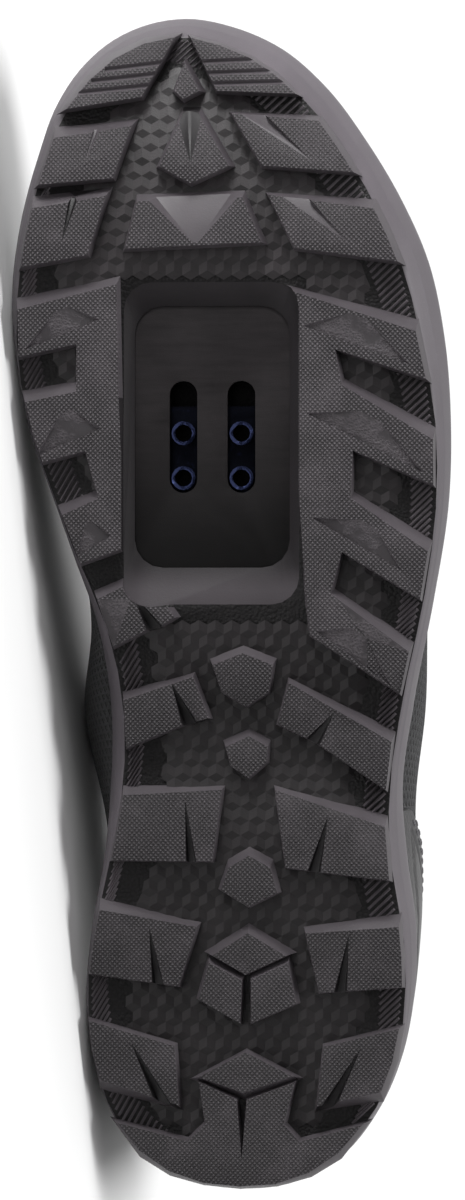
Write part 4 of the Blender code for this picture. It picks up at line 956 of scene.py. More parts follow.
def stitch_run(points, normals):
    """Stitches end to end along a path: closed ellipsoids of 6 by 5 points, lying on the normals."""
    around = 6
    rings = 5
    ahead = 0.0003
    flatness = 0.8
    half_length = bpy.context.scene.shoe_sizes.stitch / 2
    points = np.asarray(points, float)
    steps = np.linalg.norm(np.diff(points, axis=0), axis=1)
    run = np.concatenate([[0.0], np.cumsum(steps)])
    at = (np.arange(int(run[-1] / STITCH_PITCH)) + 0.5) * STITCH_PITCH

    def on_path(values, where):
        return np.stack([np.interp(where, run, values[:, k]) for k in range(3)], axis=-1)

    middle = on_path(points, at)
    onward = unit(on_path(points, at + ahead) - on_path(points, at - ahead))
    normal = unit(on_path(np.asarray(normals, float), at))
    side = np.cross(normal, onward)
    turn = np.linspace(0.0, 2 * math.pi, around, endpoint=False)[None, :, None]
    lift = np.linspace(0.0, math.pi, rings)[:, None, None]
    ring = np.sin(lift) * STITCH_RADIUS
    middle, onward, side, normal = [v[:, None, None, :] for v in (middle, onward, side, normal)]
    shape = (middle - onward * np.cos(lift) * half_length + side * ring * np.cos(turn)
             + normal * ring * flatness * np.sin(turn))
    quads = grid_faces(rings, around, wrap_columns=True)
    faces = (quads[None] + around * rings * np.arange(len(at))[:, None, None]).reshape(-1, 4)
    return shape.reshape(-1, 3), faces


def add_stitches(name, runs, slot_name):
    """One object of the stitches of several seams."""
    points, faces = joined(runs)
    return add_piece(name, points, faces, [thread_finish()], slot_name, closed=True)


def crease_offset(form, points):
    """How far the vamp's creases move the wall: soft troughs with low ridges beside them."""
    flat = points[..., :2] * MM
    total = np.zeros(flat.shape[:-1])
    for along_a, across_a, along_b, across_b, depth, half in CREASES:
        start = np.array([across_a * form.ball_width, along_a * form.length]) * (MM / 100)
        run = np.array([across_b * form.ball_width, along_b * form.length]) * (MM / 100) - start
        t = np.clip((flat - start) @ run / (run @ run), 0.0, 1.0)
        away = np.linalg.norm(flat - start - t[..., None] * run, axis=-1) / half
        fade = smooth(np.minimum(t, 1.0 - t) * 4.0)
        total += depth * fade * (0.35 * line_at(away, 1.7, 0.9) - bump_shape(away))
    return total / MM


def edge_clearance(form, flat):
    """Distance of points of the tread from the tread's edge, below 0 outside it."""
    station = evenly(EDGE_POINTS)
    edge = form.inset_point(station, form.flare_at(station) + EDGE_MARGIN)
    toe = int(np.argmax(edge[:, 1]))
    medial = np.interp(flat[..., 1], edge[:toe + 1, 1], edge[:toe + 1, 0], left=-1.0, right=-1.0)
    lateral = np.interp(flat[..., 1], edge[:toe - 1:-1, 1], edge[:toe - 1:-1, 0], left=1.0, right=1.0)
    inside = (flat[..., 0] < medial) & (flat[..., 0] > lateral)
    away = np.linalg.norm(flat[..., None, :] - edge, axis=-1).min(axis=-1)
    return np.where(inside, away, -away)


def recess_clearance(form, flat):
    """Distance of points of the tread outside the cleat's recess, below 0 inside it."""
    middle = np.array([CLEAT_ACROSS * form.ball_width,
                       CLEAT_ALONG * form.length + (RECESS_FRONT_RAMP - RECESS_REAR_RAMP) / 2])
    half = np.array([RECESS_WIDTH / 2 + RECESS_SIDE_RAMP,
                     (RECESS_LENGTH + RECESS_FRONT_RAMP + RECESS_REAR_RAMP) / 2])
    return (np.abs(flat - middle) - half).max(axis=-1)


def strip_grid(form, inset, columns):
    """Plan of a shape inside the outline: rows from heel to toe, columns from medial to lateral."""
    half = ROUND_STEPS // 2 + 1
    station = evenly(ROUND_STEPS)[:half]
    medial = form.inset_point(station, inset[:half])
    lateral = form.inset_point((1.0 - station) % 1.0, np.roll(inset[::-1], 1)[:half])
    t = (0.5 - 0.5 * np.cos(np.linspace(0.0, math.pi, columns)))[None, :, None]
    return medial[:, None] * (1.0 - t) + lateral[:, None] * t


def across_throat(form, place, half_place, width, ends, offset, crown, narrow=None):
    """Rows from the lateral wall over the throat to the medial wall.

    The rows lie at a place along the throat plus shares, width, of a half width. On a wall the points
    follow its surface at an offset; between the edges they follow a shallow arc that stands a crown
    above the straight line. narrow scales the half width down the lateral wall.
    """
    up = np.linspace(ends[0], 1.0, WALL_STEPS)[None, :]
    narrow = np.ones(WALL_STEPS) if narrow is None else narrow
    _, lateral = form.throat_pair(place + width[:, None] * half_place * narrow[None, :])
    first = form.wall_point(lateral, up, offset(form, lateral, up))
    down = np.linspace(1.0, ends[1], WALL_STEPS)[None, :]
    medial, lateral = form.throat_pair(place + width * half_place)
    last = form.wall_point(medial[:, None], down, offset(form, medial[:, None], down))
    lift = unit(form.wall_frame(medial, 1.0)[1] + form.wall_frame(lateral, 1.0)[1])
    t = np.linspace(0.0, 1.0, ARC_STEPS)[None, 1:-1, None]
    middle = (first[:, -1:] * (1 - t) + last[:, :1] * t
              + lift[:, None] * np.broadcast_to(crown, width.shape)[:, None, None] * 4 * t * (1 - t))
    return np.concatenate([first, middle, last], axis=1)


def carried_round(form, profile):
    """Points and faces of a profile carried round the outline, its corners cut.

    The profile is rows of inset and height, each a number or a value for each of ROUND_STEPS.
    """
    station = evenly(ROUND_STEPS)
    profile = rounded_run([np.broadcast_arrays(*row, station)[:2] for row in profile], 2)
    flat = form.inset_point(station[None, :], profile[:, 0])
    points = form.raised(flat, profile[:, 1]).transpose(1, 0, 2)
    return points, grid_faces(*points.shape[:2], wrap_rows=True)


def rand_surface(form):
    """Side of the outsole: its profile of bevel, crease, widest line and top, carried round."""
    flare = form.flare_at(evenly(ROUND_STEPS))
    climb = RAND_HEIGHT - LUG_DEPTH
    inside = RAND_TOP_INSET + RAND_WALL
    return carried_round(form, [
        (flare + 0.0016, LUG_DEPTH + 0.0003),
        (flare + 0.0002, LUG_DEPTH),
        (flare * 0.50 + 0.0002, LUG_DEPTH + climb * 0.30),
        (flare * 0.42 + 0.0001, LUG_DEPTH + climb * 0.36),
        (0.0, LUG_DEPTH + climb * 0.78),
        (0.0003, LUG_DEPTH + climb * 0.90),
        (RAND_TOP_INSET, RAND_HEIGHT),
        (inside, RAND_HEIGHT),
        (inside, RAND_HEIGHT - 0.004),
        (inside + 0.001, RAND_HEIGHT - 0.004),
    ])


def inside_darts(form, flat):
    """Which points of the tread lie in one of the darts, or just beside it."""
    margin = 0.0003
    corners = np.array(DARTS).reshape(-1, 3, 2)[..., ::-1] / 100.0 * [form.ball_width, form.length]
    side = np.roll(corners, -1, axis=1) - corners
    reached = flat[:, None, None, :] - corners
    inward = side[..., 0] * reached[..., 1] - side[..., 1] * reached[..., 0]
    inward = inward * np.sign(inward.sum(axis=-1, keepdims=True)) / np.linalg.norm(side, axis=-1)
    return (inward.min(axis=-1) > -margin).any(axis=-1)


class SHOE_OT_outsole(bpy.types.Operator):
    """Outsole with its lugs, recess and rand"""

    bl_idname = "shoe.outsole"
    bl_label = "Outsole"

    face, floor, recess, rand, panel, dart = range(1, 7)
    near = 0.0004
    rand_reach = 0.011
    recess_margin = 0.0006
    recess_depth = 0.0005
    heel_end = 0.46
    heel_bulge = 0.0007
    toe_bulge = 0.0002
    panel_deepest = 0.0020
    arms = (0.42, 0.79)

    def choose(self, form, mesh):
        """Number of the material of each face, from where it lies and which way it turns.

        0 is left for the lugs' sides.
        """
        middles, normals, level = face_facts(form, mesh)
        y = middles[:, 1]
        share = y / form.length
        downward = -normals[:, 2]
        slope = (form.rise(y + 1e-4) - form.rise(y - 1e-4)) / 2e-4
        flatness = (downward + normals[:, 1] * slope) / np.sqrt(1.0 + slope ** 2)
        choice = np.zeros(len(middles), np.int32)
        in_recess = recess_clearance(form, middles[:, :2]) < self.recess_margin
        choice[in_recess & (level > self.recess_depth)] = self.recess
        bulge = np.where(share < self.heel_end, self.heel_bulge, self.toe_bulge)
        choice[(downward > 0.85) & (level < bulge)] = self.face
        among_arms = (share > self.arms[0]) & (share < self.arms[1])
        choice[(flatness > 0.95) & (choice == 0) & (level < self.panel_deepest) & among_arms] = self.panel
        choice[inside_darts(form, middles[:, :2]) & (choice == 0)] = self.dart
        choice[(downward > 0.6) & (np.abs(level - LUG_DEPTH) < self.near)] = self.floor
        return choice

    def execute(self, context):
        form = ShoeForm()
        edge_round = context.scene.shoe_sizes.edge_round
        points, faces, middles, _, level = solid_copy(form, "outsole", 38.0, edge_round, 2)
        high = np.flatnonzero(level > LUG_DEPTH + self.near)
        away = np.linalg.norm(middles[high, None, :2] - form.dense, axis=-1).min(axis=1)
        gone = set(high[away < self.rand_reach].tolist())
        kept = [face for number, face in enumerate(faces) if number not in gone]
        # The darts' rubber is painted near black, as painted shade in their depth.
        finishes = [side_finish("lug_side_rubber", chosen("lug_side")), lug_finish(), floor_finish(),
                    recess_finish(), side_finish("rand_rubber", chosen("rand")), panel_finish(),
                    side_finish("dart_rubber", lighter(chosen("lug_side"), 0.2))]
        piece = add_piece("outsole_dressed", *joined([(points, kept), rand_surface(form)]), finishes,
                          "outsole_rubber", stands_for=("outsole",))
        choice = self.choose(form, piece.data)
        choice[len(kept):] = self.rand
        piece.data.polygons.foreach_set("material_index", choice)
        return {"FINISHED"}


class SHOE_OT_tread_relief(bpy.types.Operator):
    """Moulded facets and ribs on the tread's floor"""

    bl_idname = "shoe.tread_relief"
    bl_label = "Tread relief"

    side = 0.0023
    relief = 0.0005
    slack = 0.0001
    half_columns = 14
    ends = (0.03, 0.97)
    fade_start = 0.0075
    fade_run = 0.003
    edge_gap = 0.0085
    recess_gap = 0.0022
    rib_pitch = 0.0017
    rib_length = 0.0075
    rib_half = 0.00042
    rib_rise = 0.00042
    rib_slope = 0.0005
    rib_inset = 0.0012
    rib_recess_gap = 0.012
    rib_least_facing = 0.3

    def facets(self, form):
        """Hexagons of three facets each, their corners at three heights, over the tread's middle; the UV of each
        facet holds its painted shade.
        """
        wide = self.side * math.sqrt(3.0)
        step = self.side * 1.5
        front = CLEAT_ALONG * form.length + (RECESS_LENGTH + 2 * RECESS_FRONT_RAMP) / 2 + self.slack
        rows = np.arange(int(form.length / step) + 1)
        columns = np.arange(-self.half_columns, self.half_columns + 1)
        r, c = np.meshgrid(rows, columns, indexing="ij")
        start = (front + self.side) % step
        centres = np.stack([(c + 0.5 * (r % 2)) * wide, start + r * self.side * 1.5], axis=-1)
        centres = centres.reshape(-1, 2)
        kept = ((edge_clearance(form, centres) > self.edge_gap)
                & (recess_clearance(form, centres) > self.recess_gap)
                & (np.abs(centres[:, 0]) < form.ball_width / 2))
        share = centres[:, 1] / form.length
        kept &= (share > self.ends[0]) & (share < self.ends[1])
        centres = centres[kept]
        turn = math.pi / 6 + np.arange(6) * math.pi / 3
        ring = np.stack([np.cos(turn), np.sin(turn)], axis=-1) * self.side
        corners = np.concatenate([centres[:, None], centres[:, None] + ring[None]], axis=1)
        lift = np.array([1.0, 0.33, 0.66, 0.33, 0.66, 0.33, 0.66]) * self.relief
        fade = smooth((edge_clearance(form, corners) - self.fade_start) / self.fade_run)
        height = LUG_DEPTH + self.slack - fade * (lift + self.slack + form.arch_sag(corners[..., 1]))
        points = form.raised(corners, height)
        quads = np.array([(0, 6, 1, 2), (0, 2, 3, 4), (0, 4, 5, 6)])[:, ::-1]
        count = len(centres)
        faces = np.arange(count * 12).reshape(-1, 4)
        chance = np.modf(np.abs(np.sin(np.arange(count * 3) * 12.9898)) * 43758.5453)[0]
        # Painted light and shade: each hexagon's three facets get a fixed lighter, middle and darker tone, plus a
        # random part.
        painted_facet_shades = np.array([1.0, 0.45, 0.0])[None, :, None] * 0.6 + 0.4 * chance.reshape(count, 3, 1)
        painted_facet_shades = np.broadcast_to(painted_facet_shades, (count, 3, 4))
        return points[:, quads].reshape(-1, 3), faces, np.stack([painted_facet_shades, np.zeros_like(painted_facet_shades)], axis=-1)

    def ribs(self, form):
        """Slanting ribs inwards from the tread's edge: closed three-sided bars."""
        count = int(form.perimeter / self.rib_pitch)
        station = evenly(count)
        edge = form.inset_point(station, form.flare_at(station) + self.rib_inset)
        _, normal = form.outline_point(station)
        slant = np.where(normal[:, :1] > 0, np.array([[-0.5, 0.87]]), np.array([[-0.72, 0.69]]))
        facing = np.sum(slant * normal, axis=1)
        slant = slant * -np.sign(facing)[:, None]
        good = ((np.abs(facing) > self.rib_least_facing)
                & (recess_clearance(form, edge) > self.rib_recess_gap))
        edge = edge[good]
        slant = slant[good]
        aside = np.stack([-slant[:, 1], slant[:, 0]], axis=-1) * self.rib_half
        end = edge + slant * self.rib_length
        low = LUG_DEPTH + self.slack
        high = LUG_DEPTH - self.rib_rise - form.arch_sag(edge[:, 1])
        rows = [(edge - aside, low), (edge + aside, low), (edge + slant * self.rib_slope, high),
                (end - aside, low), (end + aside, low), (end - slant * self.rib_slope, high)]
        points = np.stack([form.raised(*row) for row in rows], axis=1)
        bars = [(0, 1, 2), (3, 5, 4), (0, 3, 4, 1), (1, 4, 5, 2), (0, 2, 5, 3)]
        faces = [tuple(6 * k + v for v in bar) for k in range(len(edge)) for bar in bars]
        return points.reshape(-1, 3), faces

    def execute(self, context):
        form = ShoeForm()
        points, faces, places = self.facets(form)
        add_piece("tread_facets", points, faces, [facet_finish()], "outsole_rubber", places=places)
        points, faces = self.ribs(form)
        finish = side_finish("tread_rib_rubber", lighter(chosen("lug"), 1.5), 0.3, 1.8, 0.45, 0.4)
        add_piece("tread_ribs", points, faces, [finish], "outsole_rubber", closed=True)
        return {"FINISHED"}


class SHOE_OT_midsole(bpy.types.Operator):
    """Midsole, its band above the rand and its pockets"""

    bl_idname = "shoe.midsole"
    bl_label = "Midsole"

    lid_inset = 0.0010
    rim_width = 0.006
    under_lid = 0.0015

    def execute(self, context):
        form = ShoeForm()
        points, faces, middles, normals, level = solid_copy(form, "midsole", 60.0, 0.0002, 1)
        rim = edge_clearance(form, middles[:, :2]) < self.rim_width
        upright = np.abs(normals[:, 2]) < 0.8
        gone = (upright & rim) | (form.stack(middles[:, 1]) - level < self.under_lid)
        kept = [face for face, left_out in zip(faces, gone) if not left_out]
        y = form.outline_point(evenly(ROUND_STEPS))[0][:, 1]
        shows = form.band_share(y)
        inside = RAND_TOP_INSET + RAND_WALL + FIT_GAP
        shown = inside - (inside - MIDSOLE_TOP_INSET) * shows
        top = form.stack(y)
        step = np.minimum(RAND_HEIGHT + FIT_GAP, top - MIDSOLE_BAND_LEAST)
        tall = top - step
        crown = MIDSOLE_CROWN * shows
        band = carried_round(form, [
            (inside, WALL_BREAK),
            (inside, step - 0.0004),
            (shown, step),
            (shown - crown, step + tall * 0.30),
            (shown - 0.5 * crown, step + tall * 0.46),
            (shown + 0.7 * crown, step + tall * 0.52),
            (shown - 0.5 * crown, step + tall * 0.58),
            (shown - 0.5 * crown, step + tall * 0.82),
            (shown + 0.0001, top),
            (shown + self.lid_inset, top),
        ])
        lid = strip_grid(form, shown + self.lid_inset, 25)
        lid = form.raised(lid, form.stack(lid[..., 1]))
        points, faces = joined([(points, kept), band, (lid, grid_faces(*lid.shape[:2]))])
        choice = np.arange(len(faces)) < len(kept)
        # The pockets, the kept CAD faces, take foam painted near black: painted shade in the pockets.
        finishes = [foam_finish("midsole_foam", chosen("foam"), 0.3),
                    foam_finish("pocket_foam", lighter(chosen("foam"), 0.04), 0.04)]
        add_piece("midsole_dressed", points, faces, finishes, "midsole_foam",
                  stands_for=("midsole",), choice=choice)
        return {"FINISHED"}


class SHOE_OT_cleat_fitting(bpy.types.Operator):
    """Cleat plate and the nut plate that slides behind its slots"""

    bl_idname = "shoe.cleat_fitting"
    bl_label = "Cleat fitting"

    boss_top = 0.0022

    def execute(self, context):
        form = ShoeForm()
        # The nut plate's flat face between the bosses is painted near black, as painted shade behind the slots;
        # the bosses keep the blued steel.
        steels = [steel_finish("nut_plate_steel", lighter(chosen("nut"), 0.05), 0.5),
                  steel_finish("boss_steel", chosen("nut"), 0.16)]
        for node, body, slot_name, finishes, rounding in (
                ("cleat_plate", "shoe", "cleat_plate_plastic", [plate_finish()], 0.0005),
                ("cleat_nut_plate", "cleat_nut", "nut_steel", steels, 0.0003)):
            points, faces, _, _, level = solid_copy(form, node, 40.0, rounding, 3)
            on_boss = level < LUG_DEPTH + BASE_THICKNESS + self.boss_top
            add_piece(f"{node}_dressed", points, faces, finishes, slot_name, body=body,
                      stands_for=(node,), choice=on_boss * (len(finishes) - 1))
        return {"FINISHED"}


class SHOE_OT_insole(bpy.types.Operator):
    """Insole with its edge turned up at the heel and the arch"""

    bl_idname = "shoe.insole"
    bl_label = "Insole"

    lip_width = 0.0012
    lip_slope = 0.008
    seam_inset = 0.004
    seam_depth = 0.0002

    def execute(self, context):
        form = ShoeForm()
        y = form.outline_point(evenly(ROUND_STEPS))[0][:, 1]
        flat = strip_grid(form, form.feather_inset(y) + UPPER_WALL + 2 * FIT_GAP, 61)
        bottom = form.stack(flat[..., 1]) + FIT_GAP
        border = border_distance(np.concatenate([flat, 0.0 * bottom[..., None]], axis=-1))
        lip = INSOLE_LIP * form.band_share(flat[..., 1])
        lip = lip * (1.0 - smooth((border - self.lip_width) / self.lip_slope))
        top = bottom + (INSOLE_THICKNESS + lip) * quarter_round(border, 0.0014, 0.25)
        top = top - self.seam_depth * line_at(border, self.seam_inset, 0.0008)
        grids = [form.raised(flat, height) for height in (top, bottom)]
        finish = woven_finish("insole_fabric", chosen("insole"), 0.8, 0.00012, 0.2)
        piece = add_sheet("insole", *grids, finish, "insole_fabric", places=flat)
        return {"FINISHED"}


class SHOE_OT_upper(bpy.types.Operator):
    """Hollow upper of knitted mesh with a lined, padded collar and an eyestay"""

    bl_idname = "shoe.upper"
    bl_label = "Upper"

    around = 320
    lip_steps = 7
    seam_share = 0.63
    eyestay_share = 0.785

    def seams(self, form):
        """Two rows of stitches on the eyestay and one under the collar's padding."""
        seams = []
        run = np.linspace(form.throat_medial, form.throat_lateral, 200)
        for share in (0.825, 0.94):
            point, normal, _ = form.wall_frame(run, share)
            seams.append(stitch_run(point + normal * EYESTAY_RAISE, normal))
        run = np.linspace(form.throat_lateral - 1.0 + 0.012, form.throat_medial - 0.012, 300)
        point, normal, _ = form.wall_frame(run, self.seam_share)
        seams.append(stitch_run(point - normal * 0.0003, normal))
        return seams

    def execute(self, context):
        form = ShoeForm()
        station = evenly(self.around)
        share = np.concatenate([np.linspace(0.0, 0.78, 44), np.linspace(0.787, 0.803, 5),
                                np.linspace(0.82, 1.0, 12)])
        s, h = np.meshgrid(station, share, indexing="ij")
        point, normal, upwards = form.wall_frame(s, h)
        throat = form.throat_share(s)
        crease = crease_offset(form, point) * smooth((h - 0.3) / 0.2)
        puff = 0.0011 * (1.0 - throat) * np.sin(math.pi * np.clip((h - 0.64) / 0.36, 0.0, 1.0))
        groove = 0.0004 * (1.0 - throat) * line_at(h, self.seam_share, 0.012)
        raised = EYESTAY_RAISE * throat * smooth((h - self.eyestay_share) / 0.02)
        outer = point + normal * (crease + puff - groove + raised)[..., None]
        inner = point + normal * (crease - form.wall_thickness(s, h))[..., None]
        middle = (outer[:, -1:] + inner[:, -1:]) / 2
        arm = (outer[:, -1:] - inner[:, -1:]) / 2
        turn = np.linspace(0.0, math.pi, self.lip_steps + 2)[None, 1:-1, None]
        reach = np.linalg.norm(arm, axis=-1, keepdims=True)
        lip = middle + arm * np.cos(turn) + upwards[:, -1:] * reach * np.sin(turn) * 0.8
        grid = np.concatenate([outer, lip, inner[:, ::-1]], axis=1)
        round_run = station[:, None] * form.perimeter
        places = np.stack(np.broadcast_arrays(round_run, run_along(grid, 1)), axis=-1)
        columns = grid.shape[1]
        faces = grid_faces(self.around, columns, wrap_rows=True, wrap_columns=True)
        at_throat = form.throat_share(station + 0.5 / self.around)[:, None] > 0.5
        wall = len(share) - 1
        knit, lining, eyestay = range(3)
        choice = np.full((self.around, columns), lining, np.int32)
        choice[:, :wall] = np.where((share[:-1] > self.seam_share + 0.005) & ~at_throat, lining, knit)
        over_lip = np.concatenate([share, np.ones(self.lip_steps)]) > self.eyestay_share + 0.001
        choice[:, :len(over_lip)][over_lip & at_throat] = eyestay
        finishes = [knit_finish(), woven_finish("lining", chosen("lining"), 0.7, 0.0001, 0.35),
                    synthetic_finish("eyestay", 0.42)]
        add_piece("upper_dressed", grid, faces, finishes, "upper_mesh", stands_for=("upper",),
                  places=places, choice=choice.ravel(), closed=True)
        add_stitches("upper_stitches", self.seams(form), "upper_mesh")
        return {"FINISHED"}


class SHOE_OT_overlays(bpy.types.Operator):
    """Toe cap and heel counter on the upper's own surface"""

    bl_idname = "shoe.overlays"
    bl_label = "Overlays"

    sink = 0.0003
    rows = 221
    columns = 49
    seam_insets = (0.0024, 0.0046)
    groove_inset = 0.0062
    groove_depth = 0.0004
    least_width = 0.012
    seam_end = 0.004

    def overlay(self, form, name, first, last, high_share, end_run):
        """One overlay with rounded, tapered borders, and its seams."""
        first = math.ceil(first * CAD_STATIONS) / CAD_STATIONS
        last = math.floor(last * CAD_STATIONS) / CAD_STATIONS
        station = np.linspace(first, last, self.rows)
        inward = np.minimum(station - first, last - station) * CAD_STATIONS / end_run
        low = form.above_sole(station)
        high = low + (high_share - low) * (0.2 + 0.8 * np.sin(math.pi / 2 * np.clip(inward, 0.0, 1.0)))
        v = 0.5 - 0.5 * np.cos(np.linspace(0.0, math.pi, self.columns))
        share = low[:, None] + (high - low)[:, None] * v[None, :]
        point, normal, _ = form.wall_frame(station[:, None], share)
        border = border_distance(point)
        groove = self.groove_depth * line_at(border, self.groove_inset, 0.0011)
        lift = (OVERLAY_GAP + OVERLAY_THICKNESS + self.sink) * quarter_round(border, 0.0014)
        outer = point + normal * (lift - self.sink - groove)[..., None]
        inner = point - normal * (self.sink + 0.0002)
        add_sheet(name, outer, inner, synthetic_finish(f"{name}_synthetic", 0.4), "overlay_synthetic")
        seams = []
        top_run = np.cumsum(np.linalg.norm(np.diff(outer[:, ::-1], axis=1), axis=-1), axis=1)
        from_end = np.minimum(station - first, last - station)
        rows = np.flatnonzero((top_run[:, -1] > self.least_width) & (from_end > self.seam_end))
        for inset in self.seam_insets:
            column = np.clip(self.columns - 2 - (top_run[rows] < inset).sum(axis=1), 0, None)
            seams.append(stitch_run(outer[rows, column], normal[rows, column]))
        return seams

    def execute(self, context):
        form = ShoeForm()
        seams = self.overlay(form, "toe_cap", form.station_of("medial", 77),
                             form.station_of("lateral", 79), 0.47, 8)
        seams += self.overlay(form, "heel_counter", form.station_of("lateral", 33) - 1.0,
                              form.station_of("medial", 30), 0.61, 4)
        add_stitches("overlay_stitches", seams, "overlay_synthetic")
        return {"FINISHED"}


class SHOE_OT_straps(bpy.types.Operator):
    """Three closing straps with stitched borders and a rounded lateral end"""

    bl_idname = "shoe.straps"
    bl_label = "Straps"

    wall_run = 0.11
    end_round = 0.007
    groove_inset = 0.0045
    groove_depth = 0.0003
    seam_inset = 0.0024
    seam_ends = 3

    def over_eyestay(self, form, station, share):
        """Height of a strap's underside over the wall."""
        return FIT_GAP + EYESTAY_RAISE * form.throat_share(station) * smooth((share - 0.70) / 0.085)

    def execute(self, context):
        form = ShoeForm()
        throat = (UPPER_SECTIONS[9][2] - UPPER_SECTIONS[4][2]) / 100 * form.length
        width = np.sin(np.linspace(-math.pi / 2, math.pi / 2, 33))
        finish = synthetic_finish("strap_synthetic", 0.5)
        runs = []
        for name, (place, half_width, lateral_end, medial_end) in STRAPS.items():
            reach = np.linspace(0.0, 1.0, WALL_STEPS) * (1.0 - lateral_end) * self.wall_run
            narrow = quarter_round(reach, self.end_round, 0.6)
            under = across_throat(form, place / 100, half_width / 1000 / throat, width,
                                  (lateral_end, medial_end), self.over_eyestay, STRAP_CROWN, narrow)
            under = evened(under, 6, 1)
            normal = grid_normals(under)
            border = border_distance(under)
            groove = self.groove_depth * line_at(border, self.groove_inset, 0.0009)
            thick = STRAP_THICKNESS * quarter_round(border, 0.0010, 0.25) - groove
            over = under + normal * thick[..., None]
            add_sheet(name, over, under, finish, "strap_synthetic")
            side_run = run_along(over, 0)
            columns = np.arange(self.seam_ends, over.shape[1] - self.seam_ends)
            for away in (side_run, side_run[-1] - side_run):
                row = np.abs(away[:, columns] - self.seam_inset).argmin(axis=0)
                runs.append(stitch_run(over[row, columns], normal[row, columns]))
        add_stitches("strap_stitches", runs, "strap_synthetic")
        return {"FINISHED"}


class SHOE_OT_tongue(bpy.types.Operator):
    """Padded tongue with sewn channels and a bound edge"""

    bl_idname = "shoe.tongue"
    bl_label = "Tongue"

    side_end = 0.84
    tip_share = 0.80
    first_above = 98
    taper_rows = 22
    channel_pitch = 0.013
    channel_depth = 0.0009
    seam_inset = 0.0052
    seam_depth = 0.0006
    edge_round = 0.0035

    def layer(self, form, depth):
        """One face of the tongue: rows from under the vamp up over the throat and above it."""
        places = np.linspace(0.03, 0.90, 88)

        def offset(form, station, share):
            return -(form.wall_thickness(station, share) + depth)

        crown = TONGUE_CROWN * np.minimum(1.0, places / 0.25)
        rows = across_throat(form, 0.0, 1.0, places, (self.side_end, self.side_end), offset, crown)
        medial, lateral = form.throat_pair(places[0])
        fan = np.linspace(lateral, medial, rows.shape[1])
        tip = form.wall_point(fan, self.tip_share, offset(form, fan, self.tip_share) - 0.0009)
        t = np.linspace(0.0, 1.0, 9)[:-1, None, None]
        parts = [tip[None] * (1.0 - t) + rows[:1] * t, rows]
        last = rows[-1]
        t = np.linspace(0.0, 1.0, 11)[1:, None, None]
        for up, back, narrowing in TONGUE_TOP:
            following = last * [narrowing, 1.0, 1.0] + [0.0, -back, up]
            parts.append(last * (1.0 - t) + following * t)
            last = following
        rows = evened(evened(np.concatenate(parts), 40, 0), 12, 1)
        number = np.arange(len(rows))
        above = smooth((number - self.first_above) / (len(rows) - 1.0 - self.first_above))[:, None]
        aside = np.abs(np.linspace(-1.0, 1.0, rows.shape[1]))[None, :]
        dropped = (0.009 * above * smooth((aside - 0.35) / 0.65))[..., None]
        rows = rows + dropped * np.array([0.0, 0.5, -0.85])
        near_end = np.clip((number - len(rows) + self.taper_rows) / (self.taper_rows - 1.0), 0.0, 1.0)
        taper = 1.0 - 0.30 * near_end ** 3
        centre = (rows[:, :1] + rows[:, -1:]) / 2
        return centre + (rows - centre) * (taper[:, None, None] * [1.0, 0.0, 0.0] + [0.0, 1.0, 1.0])

    def execute(self, context):
        form = ShoeForm()
        outer = self.layer(form, TONGUE_GAP)
        inner = self.layer(form, TONGUE_GAP + TONGUE_THICKNESS)
        border = border_distance(outer)
        run = run_along(outer, 0)
        shut = quarter_round(border, self.edge_round, 0.35)[..., None]
        middle = (outer + inner) / 2
        outer = middle + (outer - middle) * shut
        inner = middle + (inner - middle) * shut
        normal = grid_normals(outer)
        phase = (run[-1:] - run + 0.006) % self.channel_pitch
        channels = line_at(phase, self.channel_pitch / 2, 0.0016) * smooth((border - 0.006) / 0.002)
        sewn = self.channel_depth * channels + self.seam_depth * line_at(border, self.seam_inset, 0.0010)
        outer = outer - normal * sewn[..., None]
        places = np.stack([run_along(middle, 1), run_along(middle, 0)], axis=-1)
        finish = woven_finish("tongue_fabric", chosen("lining"), 0.9, 0.00014, 0.3)
        piece = add_sheet("tongue", outer, inner, finish, "tongue_fabric", places=places)
        return {"FINISHED"}


def studio_world():
    """White surroundings, dimmer as a light than they look behind the shoe."""
    world = bpy.data.worlds.new("studio")
    world.use_nodes = True
    tree = world.node_tree
    path = tree.nodes.new("ShaderNodeLightPath")
    strength = tree.nodes.new("ShaderNodeMapRange")
    strength.inputs["To Max"].default_value = 1.0
    where = tree.nodes.new("ShaderNodeTexCoord")
    parts = tree.nodes.new("ShaderNodeSeparateXYZ")
    behind = tree.nodes.new("ShaderNodeMapRange")
    for name, value in (("From Min", -0.2), ("From Max", 0.6), ("To Min", 0.06), ("To Max", 0.9)):
        behind.inputs[name].default_value = value
    tree.links.new(where.outputs["Generated"], parts.inputs[0])
    tree.links.new(parts.outputs["Y"], behind.inputs["Value"])
    tree.links.new(behind.outputs[0], strength.inputs["To Min"])
    tree.links.new(path.outputs["Is Camera Ray"], strength.inputs["Value"])
    background = tree.nodes["Background"]
    background.inputs["Color"].default_value = (1.0, 1.0, 1.0, 1.0)
    tree.links.new(strength.outputs[0], background.inputs["Strength"])
    return world


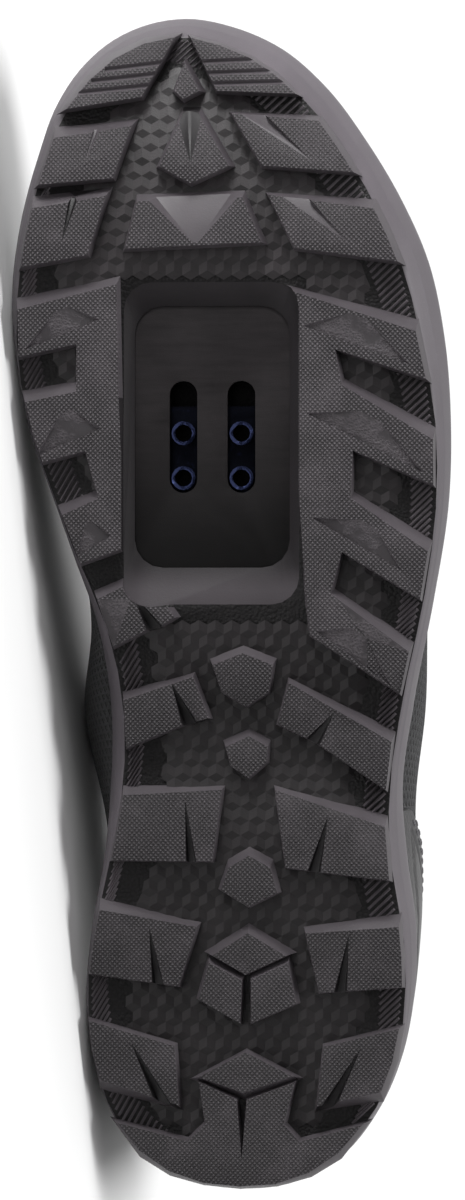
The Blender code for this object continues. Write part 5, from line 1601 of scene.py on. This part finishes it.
class SHOE_OT_stage(bpy.types.Operator):
    """Plain pale floor, soft studio light and the camera under the sole"""

    bl_idname = "shoe.stage"
    bl_label = "Stage"

    def execute(self, context):
        form = ShoeForm()
        scene = context.scene
        half = 6.0
        mesh = bpy.data.meshes.new("ground")
        mesh.from_pydata([(-half, -half, 0), (half, -half, 0), (half, half, 0), (-half, half, 0)], [],
                         [(0, 1, 2, 3)])
        ground = bpy.data.objects.new("ground", mesh)
        nodes = Nodes("pale_ground", chosen("ground"), 0.9)
        mesh.materials.append(nodes.material)
        scene.collection.objects.link(ground)

        tilt = math.radians(4.0)
        distance = 1.3
        frame_height = 0.288
        target = np.array([0.0018, 0.1424, 0.004])
        into = np.array([math.sin(tilt), 0.0, math.cos(tilt)])
        right = np.array([-math.cos(tilt), 0.0, math.sin(tilt)])
        up = np.array([0.0, 1.0, 0.0])
        camera = bpy.data.objects.new("camera", bpy.data.cameras.new("camera"))
        camera.data.sensor_width = 36.0
        camera.data.lens = 36.0 * distance / frame_height
        axes = np.column_stack([form.turn @ right, form.turn @ up, -(form.turn @ into)])
        place = form.laid(target - into * distance)
        camera.matrix_world = Matrix.Translation(Vector(place)) @ Matrix(axes.tolist()).to_4x4()
        scene.collection.objects.link(camera)
        scene.camera = camera

        for name, spot, size, power in (("key", (-0.80, -0.42, 0.08), 0.40, 10.5),
                                        ("front", (-0.6, -1.7, 0.9), 1.0, 3.5)):
            light = bpy.data.lights.new(name, "AREA")
            light.size = size
            light.energy = power
            lamp = bpy.data.objects.new(name, light)
            lamp.location = spot
            aim = Vector((0.0, 0.0, 0.05)) - Vector(spot)
            lamp.rotation_euler = aim.to_track_quat("-Z", "Y").to_euler()
            scene.collection.objects.link(lamp)
        sun = bpy.data.lights.new("overhead", "SUN")
        sun.energy = 2.6
        sun.angle = math.radians(40.0)
        lamp = bpy.data.objects.new("overhead", sun)
        lamp.rotation_euler = (math.radians(6.0), 0.0, 0.0)
        scene.collection.objects.link(lamp)
        scene.world = studio_world()
        scene.view_settings.view_transform = "Standard"
        return {"FINISHED"}


class SHOE_PT_panel(bpy.types.Panel):
    """The shoe's sizes, colours and steps"""

    bl_idname = "SHOE_PT_panel"
    bl_label = "Cycling shoe"
    bl_space_type = "VIEW_3D"
    bl_region_type = "UI"
    bl_category = "Shoe"

    def draw(self, context):
        for group in (context.scene.shoe_sizes, context.scene.shoe_colours):
            for name in group.bl_rna.properties.keys():
                if name not in ("rna_type", "name"):
                    self.layout.prop(group, name)
        for operator in OPERATORS:
            self.layout.operator(operator.bl_idname)


OPERATORS = (SHOE_OT_outsole, SHOE_OT_tread_relief, SHOE_OT_midsole, SHOE_OT_cleat_fitting,
             SHOE_OT_insole, SHOE_OT_upper, SHOE_OT_overlays, SHOE_OT_straps, SHOE_OT_tongue,
             SHOE_OT_stage)
CLASSES = (ShoeSizes, ShoeColours, *OPERATORS, SHOE_PT_panel)


def register():
    """Make the classes and the shoe's sizes and colours known."""
    for cls in CLASSES:
        bpy.utils.register_class(cls)
    bpy.types.Scene.shoe_sizes = bpy.props.PointerProperty(type=ShoeSizes)
    bpy.types.Scene.shoe_colours = bpy.props.PointerProperty(type=ShoeColours)


def unregister():
    """Take them away again."""
    del bpy.types.Scene.shoe_colours
    del bpy.types.Scene.shoe_sizes
    for cls in reversed(CLASSES):
        bpy.utils.unregister_class(cls)


def main():
    """Run each step in order."""
    register()
    for operator in OPERATORS:
        group, step = operator.bl_idname.split(".")
        getattr(getattr(bpy.ops, group), step)()


if __name__ == "__main__":
    main()
